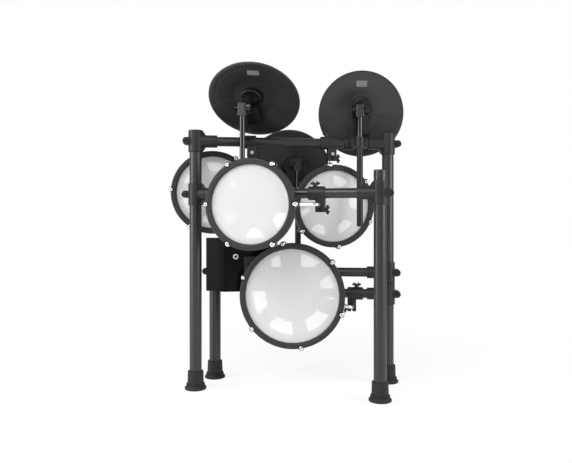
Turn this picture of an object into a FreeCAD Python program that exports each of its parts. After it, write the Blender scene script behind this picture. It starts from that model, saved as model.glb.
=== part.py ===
import FreeCAD, Part
import math
import os
import re
import Sketcher
from FreeCAD import Placement, Rotation, Vector

# Electronic drum kit, folded on its rack. Millimetres and degrees, +Z up, X to the right of the viewer,
# Y away from the viewer. Origin on the floor, under the middle of the kit's box.

# Sizes: alias and value. Each is written once here and used everywhere else by name.
SIZES = {
    # Place of the left main leg from the origin
    "left_leg_x": -246.0,
    "left_leg_y": -12.0,
    # Rack tubes
    "leg_radius": 16.0,
    "leg_wall": 1.8,
    "bar_radius": 12.5,
    "bar_wall": 1.6,
    "tube_cap": 3.0,
    "tube_cap_round": 2.5,
    "main_span": 523.0,
    "main_turn": 7.0,
    "front_span": 483.0,
    "front_turn": -12.5,
    "rear_span": 483.5,
    "rear_turn": -5.8,
    "snare_arm_length": 250.0,
    "top_bar_height": 654.0,
    "front_bar_height": 514.0,
    "rear_bar_height": 301.0,
    "front_leg_top": 571.0,
    "rear_leg_top": 378.0,
    "stack_gap": 0.5,
    "fit_clearance": 0.1,
    # Feet
    "foot_radius": 28.5,
    "foot_height": 48.0,
    "foot_rim": 5.0,
    "foot_flare": 13.0,
    "foot_neck_radius": 21.5,
    "foot_collar_radius": 20.5,
    "foot_floor": 8.0,
    "foot_round": 1.6,
    # T-clamps
    "sleeve_radius": 19.2,
    "sleeve_height": 58.0,
    "cap_thickness": 3.0,
    "cap_round": 2.2,
    "boss_radius": 16.4,
    "boss_reach": 57.0,
    "bar_end_gap": 20.0,
    "gusset_run": 19.0,
    "gusset_width": 14.0,
    "ear_radius": 9.5,
    "ear_reach": 24.5,
    "ear_width": 30.0,
    "slit_width": 3.0,
    "bolt_radius": 3.0,
    "bolt_slack": 0.3,
    "bolt_head_radius": 5.4,
    "bolt_head_height": 5.0,
    "bolt_socket_radius": 2.8,
    "bolt_socket_depth": 3.0,
    # Pads
    "tom_head_radius": 101.6,
    "snare_head_radius": 127.0,
    "hoop_overhang": 11.7,
    "hoop_lip": 4.0,
    "hoop_rise": 8.0,
    "hoop_skirt": 14.0,
    "hoop_round": 4.0,
    "head_film": 0.6,
    "head_ring_inset": 1.6,
    "head_ring_outset": 2.0,
    "head_ring_depth": 8.0,
    "head_gap": 0.4,
    "shell_inset": 2.2,
    "shell_wall": 3.0,
    "shell_depth": 47.0,
    "shell_floor": 3.0,
    "shell_round": 6.0,
    "bearing_drop": 0.2,
    "window_edge": 14.0,
    "spoke_width": 40.0,
    "tom_floor_radius": 60.0,
    "snare_floor_radius": 76.0,
    "lug_inset": 1.5,
    "lug_ear_radius": 7.8,
    "lug_ear_rise": 1.5,
    "lug_post_radius": 6.4,
    "lug_post_top": 18.0,
    "lug_post_bottom": 31.0,
    "lug_screw_radius": 2.6,
    "lug_screw_end": 28.0,
    "lug_head_radius": 5.2,
    "lug_head_height": 4.6,
    "lug_flange_radius": 6.6,
    "lug_flange_height": 1.2,
    "sensor_plate_radius": 22.0,
    "sensor_plate_thickness": 2.0,
    "sensor_foot_radius": 15.0,
    "sensor_tip_radius": 5.0,
    "sensor_tip_gap": 0.4,
    # Pad rods
    "rod_radius": 4.75,
    "rod_depth": 37.0,
    "rod_bend": 13.0,
    "rod_inner_end": 46.0,
    "rod_past_block": 5.0,
    "socket_radius": 9.0,
    "socket_start": 44.0,
    # Pad clamps
    "collar_radius": 17.5,
    "collar_length": 43.0,
    "collar_round": 2.0,
    "block_width": 24.0,
    "block_depth": 26.0,
    "block_drop": 48.0,
    "block_round": 3.0,
    "rod_drop": 29.0,
    "rod_side": 9.5,
    "block_screw_drop": 41.5,
    "collar_screw_side": 4.0,
    "collar_screw_boss": 7.0,
    "collar_screw_rise": 18.5,
    # Wing screws and wing nuts
    "wing_shank_radius": 3.0,
    "wing_hub_radius": 5.0,
    "wing_hub_height": 8.0,
    "wing_span": 24.0,
    "wing_height": 8.5,
    "wing_thickness": 4.0,
    "wing_round": 4.0,
    # Shape of a wing screw as shares of its hub's radius and height and of its rounding
    "wing_hub_top_share": 0.8,
    "wing_root_share": 0.6,
    "wing_root_low_share": 0.2,
    "wing_tip_low_share": 0.5,
    "wing_tip_high_share": 0.3,
    "wing_tip_round_share": 0.7,
    "wing_crown_round_share": 0.5,
    # Cymbal arms
    "arm_collar_length": 25.0,
    "arm_side": 25.0,
    "arm_stand_off": 25.0,
    "arm_sleeve_radius": 11.6,
    "arm_sleeve_height": 28.0,
    "tube_radius": 8.4,
    "tube_bore_radius": 7.1,
    "arm_radius": 7.0,
    "arm_insert": 150.0,
    "tilter_width": 22.0,
    "tilter_depth": 22.0,
    "tilter_height": 32.0,
    "tilter_round": 4.0,
    "pivot_below_top": 11.0,
    "knuckle_gap": 0.4,
    "knuckle_width": 12.0,
    "knuckle_radius": 13.0,
    "pivot_bolt_radius": 3.5,
    "post_radius": 5.5,
    "cup_radius": 28.0,
    "cup_height": 9.0,
    "cup_round": 2.5,
    "cup_hole_radius": 2.6,
    "cup_hole_circle": 22.0,
    "cup_hole_depth": 4.0,
    "top_nut_height": 14.0,
    "jack_start": 19.0,
    "jack_length": 56.0,
    "jack_wide": 40.0,
    "jack_narrow": 27.0,
    "jack_height": 15.0,
    "jack_sink": 6.0,
    "jack_round": 3.0,
    "jack_hole_radius": 3.4,
    "jack_hole_depth": 12.0,
    # Cymbals
    "cymbal_radius": 119.0,
    "cymbal_thickness": 4.0,
    "cymbal_edge": 5.0,
    "cymbal_bow": 13.0,
    "cymbal_rim_share": 0.35,
    "bell_radius": 44.0,
    "bell_foot_radius": 54.0,
    "bell_rise": 9.0,
    "cymbal_bore": 6.5,
    # Sound module
    "module_bottom": 250.0,
    "module_height": 146.0,
    "module_x": 18.0,
    "module_back_y": 83.0,
    "module_length": 180.0,
    "module_slant": 53.0,
    "module_left_depth": 40.0,
    "module_left_edge": 12.0,
    "module_right_depth": 19.0,
    "module_round": 4.0,
    "module_wall": 2.5,
    "panel_thickness": 1.6,
    "panel_margin": 3.0,
    "panel_sink": 0.8,
    "dial_radius": 7.0,
    "dial_bore": 4.2,
    "dial_height": 6.0,
    "dial_along": 31.0,
    "dial_up": 96.0,
    "dial_spindle": 2.0,
    "key_along": 72.0,
    "key_up": 70.0,
    "key_width": 36.0,
    "key_tall": 50.0,
    "key_height": 2.4,
    "key_gap": 0.5,
    "key_flange": 2.0,
    "key_flange_thickness": 1.0,
    "key_travel": 1.5,
    "key_across_share": 0.7,
    "key_up_share": 0.6,
    "bracket_along": 115.0,
    "bracket_width": 30.0,
    "bracket_plate": 3.0,
    "bracket_plate_width": 60.0,
    "bracket_plate_height": 70.0,
    "bracket_step": 30.0,
    "module_jack_radius": 4.5,
    "module_jack_step": 24.0,
    "module_jack_depth": 9.0,
    # Place of each pad: its rod's hole along the bar from the bar's main leg, turn of the collar's screw from
    # upright to the viewer, tilt of the clamp about the bar, direction of the rod in the pad's plane, reach,
    # face in front of the bar, turn about the rod, lug turn
    "front_tom_along": 334.0,
    "front_tom_screw_turn": 0.0,
    "front_tom_tilt": 0.0,
    "front_tom_rod_turn": 180.0,
    "front_tom_reach": 160.0,
    "front_tom_face": 88.0,
    "front_tom_turn": 0.0,
    "front_tom_lug_turn": 0.0,
    "right_tom_along": 366.0,
    "right_tom_screw_turn": 0.0,
    "right_tom_tilt": 4.0,
    "right_tom_rod_turn": -88.0,
    "right_tom_reach": 142.0,
    "right_tom_face": 4.0,
    "right_tom_turn": 6.0,
    "right_tom_lug_turn": 37.0,
    "left_tom_along": 148.0,
    "left_tom_screw_turn": 65.0,
    "left_tom_tilt": 1.0,
    "left_tom_rod_turn": -134.5,
    "left_tom_reach": 147.0,
    "left_tom_face": -50.0,
    "left_tom_turn": 0.0,
    "left_tom_lug_turn": -4.0,
    "snare_along": -98.5,
    "snare_screw_turn": 0.0,
    "snare_tilt": 0.0,
    "snare_rod_turn": 168.0,
    "snare_reach": 160.0,
    "snare_face": 104.0,
    "snare_turn": 0.0,
    "snare_lug_turn": 40.0,
    # Place of each cymbal: rod along the bar, height of the tube's bottom and of the tilter's pivot,
    # tilt of the disc from upright, shift and drop of the disc's centre from its hub, lengths of post
    # and tube, turn of the rod
    "left_cymbal_along": 136.0,
    "left_cymbal_tube_bottom": 380.0,
    "left_cymbal_pivot": 733.0,
    "left_cymbal_lean": 50.0,
    "left_cymbal_shift": 8.5,
    "left_cymbal_drop": 2.0,
    "left_cymbal_post": 34.0,
    "left_cymbal_tube": 205.0,
    "left_cymbal_yaw": -10.0,
    "right_cymbal_along": 438.0,
    "right_cymbal_tube_bottom": 428.0,
    "right_cymbal_pivot": 744.0,
    "right_cymbal_lean": 14.0,
    "right_cymbal_shift": -6.5,
    "right_cymbal_drop": 18.0,
    "right_cymbal_post": 62.0,
    "right_cymbal_tube": 240.0,
    "right_cymbal_yaw": 0.0,
    "rear_cymbal_along": -250.0,
    "rear_cymbal_tube_bottom": 283.0,
    "rear_cymbal_pivot": 606.0,
    "rear_cymbal_lean": 3.0,
    "rear_cymbal_shift": -7.5,
    "rear_cymbal_drop": 22.0,
    "rear_cymbal_post": 32.0,
    "rear_cymbal_tube": 240.0,
    "rear_cymbal_yaw": 0.0,
}

# Pads: the bar each hangs on and the side of its clamp that holds the rod, right (1) or left (-1).
PADS = {
    "front_tom": ("front", 1),
    "right_tom": ("top", 1),
    "left_tom": ("top", 1),
    "snare": ("snare", -1),
}
# Cymbals: bar, side of the rod on its clamp, front (1) or back (-1) of the bar, side of the hub on
# the tilter.
CYMBALS = {
    "left_cymbal": ("front", 1, 1, 1),
    "right_cymbal": ("top", 1, 1, 1),
    "rear_cymbal": ("rear", 1, -1, -1),
}
LUG_COUNT = 6
CUP_HOLE_COUNT = 8
COLUMNS_OF_KEYS = 3
ROWS_OF_KEYS = 4

doc = FreeCAD.newDocument("drum_kit")
sheet = doc.addObject("Spreadsheet::Sheet", "Sizes")
for row, (alias, value) in enumerate(SIZES.items(), 1):
    sheet.set("A%d" % row, alias)
    sheet.set("B%d" % row, str(value))
    sheet.setAlias("B%d" % row, alias)
doc.recompute()
ALIASES = set(SIZES)


def bind(formula):
    """Formula with every size's alias pointed at the sheet."""
    def point(match):
        word = match.group(0)
        return "Sizes." + word if word in ALIASES else word
    return re.sub(r"[a-z_]+[a-z_0-9]*", point, str(formula))


def number(formula):
    """Value of a formula of sizes, worked out from the sheet."""
    value = sheet.evalExpression(bind(formula))
    return float(getattr(value, "Value", value))


def at(x=0, y=0, z=0, rotation=None):
    """Placement from formulas of sizes, with an optional rotation."""
    return Placement(Vector(number(x), number(y), number(z)), rotation or Rotation())


ALONG_X = Rotation(Vector(0, 1, 0), 90)
ALONG_Y = Rotation(Vector(1, 0, 0), -90)
DOWN = Rotation(Vector(1, 0, 0), 180)


def new_object(kind, name, **formulas):
    """Document object with properties bound to formulas of sizes."""
    made = doc.addObject(kind, name)
    for prop, formula in formulas.items():
        made.setExpression(prop, bind(formula))
    return made


def cylinder(name, radius, height, place=None):
    made = new_object("Part::Cylinder", name, Radius=radius, Height=height)
    made.Placement = place or Placement()
    return made


def cone(name, bottom, top, height, place=None):
    made = new_object("Part::Cone", name, Radius1=bottom, Radius2=top, Height=height)
    made.Placement = place or Placement()
    return made


def box(name, length, width, height, x=0, y=0, z=0, rotation=None):
    """Box whose centre in X and Y and whose bottom is given."""
    made = new_object("Part::Box", name, Length=length, Width=width, Height=height)
    spin = rotation or Rotation()
    corner = Vector(-number(length) / 2, -number(width) / 2, 0)
    middle = Vector(number(x), number(y), number(z))
    made.Placement = Placement(middle + spin.multVec(corner), spin)
    return made


def fuse(name, pieces):
    made = doc.addObject("Part::MultiFuse", name)
    made.Shapes = pieces
    made.Refine = True
    return made


def cut(name, base, tools):
    """Base less the tools."""
    made = doc.addObject("Part::Cut", name)
    made.Base = base
    made.Tool = tools[0] if len(tools) == 1 else fuse(name + "_tools", tools)
    made.Refine = True
    return made


def rounded(name, base, formula, pick):
    """Base with the edges that pick accepts rounded."""
    doc.recompute()
    made = doc.addObject("Part::Fillet", name)
    made.Base = base
    radius = number(formula)
    chosen = [i for i, edge in enumerate(base.Shape.Edges, 1) if pick(edge)]
    made.Edges = [(i, radius, radius) for i in chosen]
    return made


def upright(edge):
    """True for straight edges along Z."""
    if len(edge.Vertexes) != 2:
        return False
    span = edge.Vertexes[1].Point - edge.Vertexes[0].Point
    return abs(span.z) > 0 and math.hypot(span.x, span.y) < abs(span.z) / 1000


def closed_profile(sketch, corners):
    """Closed outline of straight lines through corners given as formulas, rounded where a third is given."""
    count = len(corners)
    points = [Vector(number(corner[0]), number(corner[1]), 0) for corner in corners]
    starts = []
    ends = []
    for i, corner in enumerate(corners):
        radius = number(corner[2]) if len(corner) > 2 else 0
        back = (points[i - 1] - points[i]).normalize()
        ahead = (points[(i + 1) % count] - points[i]).normalize()
        half = back.getAngle(ahead) / 2
        trim = radius / math.tan(half) if radius else 0
        starts.append(points[i] + back * trim)
        ends.append(points[i] + ahead * trim)
    for i in range(count):
        sketch.addGeometry(Part.LineSegment(ends[i], starts[(i + 1) % count]), False)
    for i, corner in enumerate(corners):
        before = (i - 1) % count
        if len(corner) > 2:
            middle = (starts[i] + ends[i]) / 2
            inward = (middle - points[i]).normalize()
            radius = number(corner[2])
            half = (starts[i] - points[i]).getAngle(ends[i] - points[i]) / 2
            centre = points[i] + inward * (radius / math.sin(half))
            arc = Part.Arc(starts[i], centre - inward * radius, ends[i])
            turn = sketch.addGeometry(arc, False)
            begin, finish = (1, 2)
            if (sketch.Geometry[turn].StartPoint - starts[i]).Length > radius / 1000:
                begin, finish = (2, 1)
            sketch.addConstraint(Sketcher.Constraint("Tangent", before, 2, turn, begin))
            sketch.addConstraint(Sketcher.Constraint("Tangent", turn, finish, i, 1))
            held = sketch.addConstraint(Sketcher.Constraint("Radius", turn, radius))
            sketch.setExpression("Constraints[%d]" % held, bind(corner[2]))
            place = sketch.addGeometry(Part.Point(points[i]), True)
            sketch.addConstraint(Sketcher.Constraint("PointOnObject", place, 1, before))
            sketch.addConstraint(Sketcher.Constraint("PointOnObject", place, 1, i))
            spot = (place, 1)
        else:
            sketch.addConstraint(Sketcher.Constraint("Coincident", before, 2, i, 1))
            spot = (i, 1)
        for kind, formula, value in (("DistanceX", corner[0], points[i].x),
                                     ("DistanceY", corner[1], points[i].y)):
            held = sketch.addConstraint(Sketcher.Constraint(kind, -1, 1, spot[0], spot[1], value))
            if str(formula) != "0":
                sketch.setExpression("Constraints[%d]" % held, bind(formula))


def new_sketch(body, name, role):
    plane = [feature for feature in body.Origin.OriginFeatures if feature.Role == role][0]
    sketch = body.newObject("Sketcher::SketchObject", name)
    sketch.AttachmentSupport = [(plane, "")]
    sketch.MapMode = "FlatFace"
    return sketch


def revolved(name, corners, place=None):
    """Body turned about Z from an outline of radius and height."""
    body = doc.addObject("PartDesign::Body", name)
    sketch = new_sketch(body, name + "_profile", "XZ_Plane")
    closed_profile(sketch, corners)
    turn = body.newObject("PartDesign::Revolution", name + "_turn")
    turn.Profile = sketch
    turn.ReferenceAxis = (sketch, ["V_Axis"])
    turn.Angle = 360
    body.Placement = place or Placement()
    return body


def padded(name, corners, length, place=None, both_ways=False):
    """Body raised along Z from an outline in X and Y."""
    body = doc.addObject("PartDesign::Body", name)
    sketch = new_sketch(body, name + "_profile", "XY_Plane")
    closed_profile(sketch, corners)
    pad = body.newObject("PartDesign::Pad", name + "_pad")
    pad.Profile = sketch
    pad.setExpression("Length", bind(length))
    pad.Midplane = both_ways
    body.Placement = place or Placement()
    return body


NODES = []


def node(label, pieces, place=None):
    """One named sub-part of one or more solids, put in place and listed for export."""
    made = pieces[0]
    if len(pieces) > 1:
        made = doc.addObject("Part::Compound", label + "_set")
        made.Links = pieces
    if place is not None:
        made.Placement = place
    made.Label = label
    NODES.append(made)
    return made


# Frames of the bars: X along the bar to the right, Y away from the viewer, Z up, origin on the main
# leg's axis.
left_leg = at("left_leg_x", "left_leg_y", 0)
main_turn = Rotation(Vector(0, 0, 1), SIZES["main_turn"])
right_leg = left_leg * Placement(main_turn.multVec(Vector(number("main_span"), 0, 0)), Rotation())
BARS = {
    "top": left_leg * at(0, 0, "top_bar_height", main_turn),
    "front": left_leg * at(0, 0, "front_bar_height", Rotation(Vector(0, 0, 1), SIZES["front_turn"])),
    "rear": right_leg * at(0, 0, "rear_bar_height", Rotation(Vector(0, 0, 1), SIZES["rear_turn"])),
    "snare": right_leg * at(0, 0, "rear_bar_height - sleeve_height - stack_gap",
                            Rotation(Vector(0, 0, 1), SIZES["rear_turn"])),
}


def on_floor(frame):
    """The frame's axis brought down to the floor."""
    return Placement(Vector(frame.Base.x, frame.Base.y, 0), frame.Rotation)


# Rack

def open_tube(name, radius, wall, length):
    return cut(name, cylinder(name + "_outside", radius, length),
               [cylinder(name + "_bore", radius + " - " + wall, length)])


def capped_tube(name, radius, wall, length):
    """Tube with a rounded plug closing its far end."""
    return revolved(name, [
        (radius + " - " + wall, 0),
        (radius, 0),
        (radius, length, "tube_cap_round"),
        (0, length),
        (0, length + " - tube_cap"),
        (radius + " - " + wall, length + " - tube_cap"),
    ])


def leg_foot(name):
    return revolved(name, [
        (0, 0),
        ("foot_radius", 0, "foot_round"),
        ("foot_radius", "foot_rim", "foot_round"),
        ("foot_neck_radius", "foot_flare", "foot_round"),
        ("foot_collar_radius", "foot_height", "foot_round"),
        ("leg_radius + fit_clearance", "foot_height"),
        ("leg_radius + fit_clearance", "foot_floor"),
        (0, "foot_floor"),
    ])


def tee_clamp(name, closed=False):
    """Clamp round an upright leg with a boss along +X for a bar and split ears with a bolt at -X."""
    top = "sleeve_height / 2"
    sleeve = revolved(name + "_sleeve", [
        (0, "-sleeve_height / 2"),
        ("sleeve_radius", "-sleeve_height / 2", "cap_round"),
        ("sleeve_radius", top, "cap_round"),
        (0, top),
    ])
    boss = cylinder(name + "_boss", "boss_radius", "boss_reach", Placement(Vector(), ALONG_X))
    gusset = padded(name + "_gusset", [
        (0, "sleeve_height / 2 - cap_round"),
        ("sleeve_radius", "sleeve_height / 2 - cap_round"),
        ("sleeve_radius + gusset_run", 0),
        ("sleeve_radius", "cap_round - sleeve_height / 2"),
        (0, "cap_round - sleeve_height / 2"),
    ], "gusset_width", Placement(Vector(), Rotation(Vector(1, 0, 0), 90)), True)
    ear = cylinder(name + "_ear", "ear_radius", "ear_width", at("-ear_reach", "-ear_width / 2", 0, ALONG_Y))
    neck = box(name + "_ear_neck", "ear_reach", "ear_width", "2 * ear_radius", "-ear_reach / 2", 0,
               "-ear_radius")
    solid = fuse(name + "_solid", [sleeve, boss, gusset, ear, neck])
    if closed:
        bore_length = "sleeve_height - cap_thickness"
    else:
        bore_length = "sleeve_height"
    tools = [
        cylinder(name + "_leg_bore", "leg_radius + fit_clearance", bore_length,
                 at(0, 0, "-sleeve_height / 2")),
        cylinder(name + "_bar_bore", "bar_radius + fit_clearance", "boss_reach",
                 at("bar_end_gap", 0, 0, ALONG_X)),
        box(name + "_slit", "ear_reach + ear_radius", "slit_width", bore_length,
            "-(ear_reach + ear_radius) / 2", 0, "-sleeve_height / 2"),
        cylinder(name + "_bolt_hole", "bolt_radius + bolt_slack", "2 * ear_width",
                 at("-ear_reach", "-ear_width", 0, ALONG_Y)),
    ]
    return cut(name, solid, tools)


def clamp_bolt(name):
    """Socket-head bolt through the ears, head to -Y, with a round nut."""
    head = cylinder(name + "_head", "bolt_head_radius", "bolt_head_height",
                    at(0, "-ear_width / 2 - bolt_head_height", 0, ALONG_Y))
    shank = cylinder(name + "_shank", "bolt_radius", "ear_width", at(0, "-ear_width / 2", 0, ALONG_Y))
    nut = new_object("Part::Prism", name + "_nut", Circumradius="bolt_head_radius",
                     Height="bolt_head_height")
    nut.Polygon = 6
    nut.Placement = at(0, "ear_width / 2", 0, ALONG_Y)
    socket = new_object("Part::Prism", name + "_socket", Circumradius="bolt_socket_radius",
                        Height="bolt_socket_depth")
    socket.Polygon = 6
    socket.Placement = at(0, "-ear_width / 2 - bolt_head_height", 0, ALONG_Y)
    return cut(name, fuse(name + "_solid", [head, shank, nut]), [socket])


def placed_clamp(name, frame, toward, closed=False):
    """Clamp and bolt on a leg, boss toward +X (1) or -X (-1) of the bar's frame, bolt head to the viewer."""
    facing = frame if toward > 0 else frame * Placement(Vector(), Rotation(Vector(0, 0, 1), 180))
    clamp = tee_clamp(name, closed)
    clamp.Placement = facing
    bolt = clamp_bolt(name + "_bolt")
    bolt.Placement = frame * at("-ear_reach" if toward > 0 else "ear_reach", 0, 0)
    return [clamp, bolt]


def bar_tube(name, span, frame, toward):
    """Open bar between two clamps, starting at the frame's leg."""
    tube = open_tube(name, "bar_radius", "bar_wall", span + " - 2 * bar_end_gap")
    if toward > 0:
        start = at("bar_end_gap", 0, 0, ALONG_X)
    else:
        start = at("bar_end_gap - (" + span + ")", 0, 0, ALONG_X)
    return node(name, [tube], frame * start)


main_leg_length = "top_bar_height + sleeve_height / 2 - cap_thickness - foot_floor"
for leg_name, leg_place in (("left_main_leg", left_leg), ("right_main_leg", right_leg)):
    node(leg_name, [open_tube(leg_name, "leg_radius", "leg_wall", main_leg_length)],
         leg_place * at(0, 0, "foot_floor"))
main_feet = [leg_foot("left_main_foot"), leg_foot("right_main_foot")]
main_feet[0].Placement = left_leg
main_feet[1].Placement = right_leg
node("main_feet", main_feet)
bar_tube("top_crossbar", "main_span", BARS["top"], 1)
top_far = BARS["top"] * at("main_span", 0, 0)
node("top_clamps", placed_clamp("top_left_clamp", BARS["top"], 1, True) + placed_clamp("top_right_clamp",
                                                                                       top_far, -1, True))

WINGS = {
    "front_wing": (BARS["front"], "front_span", 1, "front_leg_top", "front_bar_height"),
    "rear_wing": (BARS["rear"], "rear_span", -1, "rear_leg_top", "rear_bar_height"),
}
for wing, (wing_frame, wing_span, toward, leg_top, bar_height) in WINGS.items():
    far = wing_frame * at(wing_span if toward > 0 else "-" + wing_span, 0, 0)
    bar_tube(wing + "_bar", wing_span, wing_frame, toward)
    pair = placed_clamp(wing + "_hinge_clamp", wing_frame, toward)
    pair += placed_clamp(wing + "_leg_clamp", far, -toward)
    node(wing + "_clamps", pair)
    wing_leg = capped_tube(wing + "_leg", "leg_radius", "leg_wall", leg_top + " - foot_floor")
    node(wing + "_leg", [wing_leg], on_floor(far) * at(0, 0, "foot_floor"))
    node(wing + "_foot", [leg_foot(wing + "_foot")], on_floor(far))

snare_bar = capped_tube("snare_arm_bar", "bar_radius", "bar_wall", "snare_arm_length - bar_end_gap")
node("snare_arm_bar", [snare_bar], BARS["snare"] * at("-bar_end_gap", 0, 0, Rotation(Vector(0, 1, 0), -90)))
node("snare_arm_clamp", placed_clamp("snare_arm_tee", BARS["snare"], -1))


# Wing screw: shank down from the origin, flat under the hub at the origin, wings across X.

def wing_screw(name, shank):
    """Wing screw along Z: shank below the origin, hub and two wings above it."""
    tip_low = "wing_hub_height * wing_tip_low_share"
    tip_high = "wing_height + wing_hub_height * wing_tip_high_share"
    tip_round = "wing_round * wing_tip_round_share"
    crown_round = "wing_round * wing_crown_round_share"
    hub = cone(name + "_hub", "wing_hub_radius", "wing_hub_radius * wing_hub_top_share", "wing_hub_height")
    wings = padded(name + "_wings", [
        ("-wing_hub_radius * wing_root_share", "wing_hub_height * wing_root_low_share"),
        ("wing_hub_radius * wing_root_share", "wing_hub_height * wing_root_low_share"),
        ("wing_span / 2", tip_low, tip_round),
        ("wing_span / 2", tip_high, tip_round),
        ("wing_hub_radius", "wing_hub_height", crown_round),
        ("-wing_hub_radius", "wing_hub_height", crown_round),
        ("-wing_span / 2", tip_high, tip_round),
        ("-wing_span / 2", tip_low, tip_round),
    ], "wing_thickness", Placement(Vector(), Rotation(Vector(1, 0, 0), 90)), True)
    stem = cylinder(name + "_shank", "wing_shank_radius", shank, Placement(Vector(), DOWN))
    return fuse(name, [hub, wings, stem])


# Pads

def pad_clamp(name, side, screw_turn):
    """Collar on the bar with a block hanging below it; X along the bar, hole for the rod along Y."""
    rod_x = "rod_side" if side > 0 else "-rod_side"
    screw_x = "-collar_screw_side" if side > 0 else "collar_screw_side"
    screw_base = at(screw_x, 0, 0, Rotation(Vector(1, 0, 0), number(screw_turn)))
    collar = cylinder(name + "_collar", "collar_radius", "collar_length",
                      at("-collar_length / 2", 0, 0, ALONG_X))
    soft_collar = rounded(name + "_soft_collar", collar, "collar_round",
                          lambda edge: edge.Closed and edge.Length > 0)
    block = box(name + "_block", "block_width", "block_depth", "block_drop", rod_x, 0, "-block_drop")
    soft_block = rounded(name + "_soft_block", block, "block_round", upright)
    boss = cylinder(name + "_screw_boss", "collar_screw_boss", "collar_screw_rise", screw_base)
    solid = fuse(name + "_solid", [soft_collar, soft_block, boss])
    tools = [
        cylinder(name + "_bar_bore", "bar_radius + fit_clearance", "collar_length",
                 at("-collar_length / 2", 0, 0, ALONG_X)),
        cylinder(name + "_rod_hole", "rod_radius + fit_clearance", "block_depth",
                 at(rod_x, "-block_depth / 2", "-rod_drop", ALONG_Y)),
        box(name + "_slit", "slit_width", "block_depth", "block_drop - rod_drop", rod_x, 0, "-block_drop"),
        cylinder(name + "_cross_hole", "wing_shank_radius + bolt_slack", "block_width",
                 at(rod_x + " - block_width / 2", 0, "-block_screw_drop", ALONG_X)),
        cylinder(name + "_top_hole", "wing_shank_radius + bolt_slack", "collar_screw_rise", screw_base),
    ]
    body = cut(name + "_body", solid, tools)
    top = wing_screw(name + "_top_screw", "collar_screw_rise - bar_radius - bolt_slack")
    top.Placement = screw_base * at(0, 0, "collar_screw_rise")
    outward = Rotation(Vector(0, 1, 0), 90 if side > 0 else -90)
    end = "rod_side + block_width / 2" if side > 0 else "-rod_side - block_width / 2"
    cross = wing_screw(name + "_side_screw", "block_width")
    cross.Placement = at(end, 0, "-block_screw_drop", outward)
    return [body, top, cross]


def pad_hoop(name, head):
    """Rubber hoop over the head's edge with ears for the tension screws."""
    outside = head + " + hoop_overhang"
    inside = head + " + head_ring_outset + head_gap"
    ring = revolved(name + "_ring", [
        (inside, "-hoop_skirt"),
        (outside, "-hoop_skirt", "head_gap"),
        (outside, "hoop_rise", "hoop_round"),
        (head + " - hoop_lip", "hoop_rise", "hoop_round"),
        (head + " - hoop_lip", "head_gap", "head_gap"),
        (inside, "head_gap"),
    ])
    pieces = [ring]
    holes = []
    for i in range(LUG_COUNT):
        spin = Placement(Vector(), Rotation(Vector(0, 0, 1), 360.0 / LUG_COUNT * i))
        spot = spin * at(outside + " - lug_inset", 0, "-hoop_skirt")
        pieces.append(cylinder("%s_ear_%d" % (name, i), "lug_ear_radius", "hoop_skirt + lug_ear_rise",
                               spot))
        holes.append(cylinder("%s_ear_hole_%d" % (name, i), "lug_screw_radius + bolt_slack",
                              "hoop_skirt + lug_ear_rise", spot))
        high = spin * at(outside + " - lug_inset", 0, "lug_ear_rise")
        holes.append(cylinder("%s_seat_%d" % (name, i), "lug_flange_radius + bolt_slack", "hoop_rise",
                              high))
    return cut(name, fuse(name + "_solid", pieces), holes)


def pad_screws(name, head):
    """Tension screws with domed heads, one set per pad."""
    outline = [
        (0, "-lug_screw_end"),
        ("lug_screw_radius", "-lug_screw_end"),
        ("lug_screw_radius", "lug_ear_rise"),
        ("lug_flange_radius", "lug_ear_rise"),
        ("lug_flange_radius", "lug_ear_rise + lug_flange_height"),
        ("lug_head_radius", "lug_ear_rise + lug_flange_height"),
        ("lug_head_radius", "lug_ear_rise + lug_flange_height + lug_head_height", "lug_head_height / 2"),
        (0, "lug_ear_rise + lug_flange_height + lug_head_height"),
    ]
    screws = []
    for i in range(LUG_COUNT):
        spin = Placement(Vector(), Rotation(Vector(0, 0, 1), 360.0 / LUG_COUNT * i))
        screws.append(revolved("%s_%d" % (name, i), outline,
                               spin * at(head + " + hoop_overhang - lug_inset", 0, 0)))
    return screws


def pad_head(name, head):
    """Mesh film with the ring that the hoop pulls down."""
    return revolved(name, [
        (0, "-head_film"),
        (head + " - head_ring_inset", "-head_film"),
        (head + " - head_ring_inset", "-head_ring_depth"),
        (head + " + head_ring_outset", "-head_ring_depth"),
        (head + " + head_ring_outset", 0),
        (0, 0),
    ])


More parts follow.
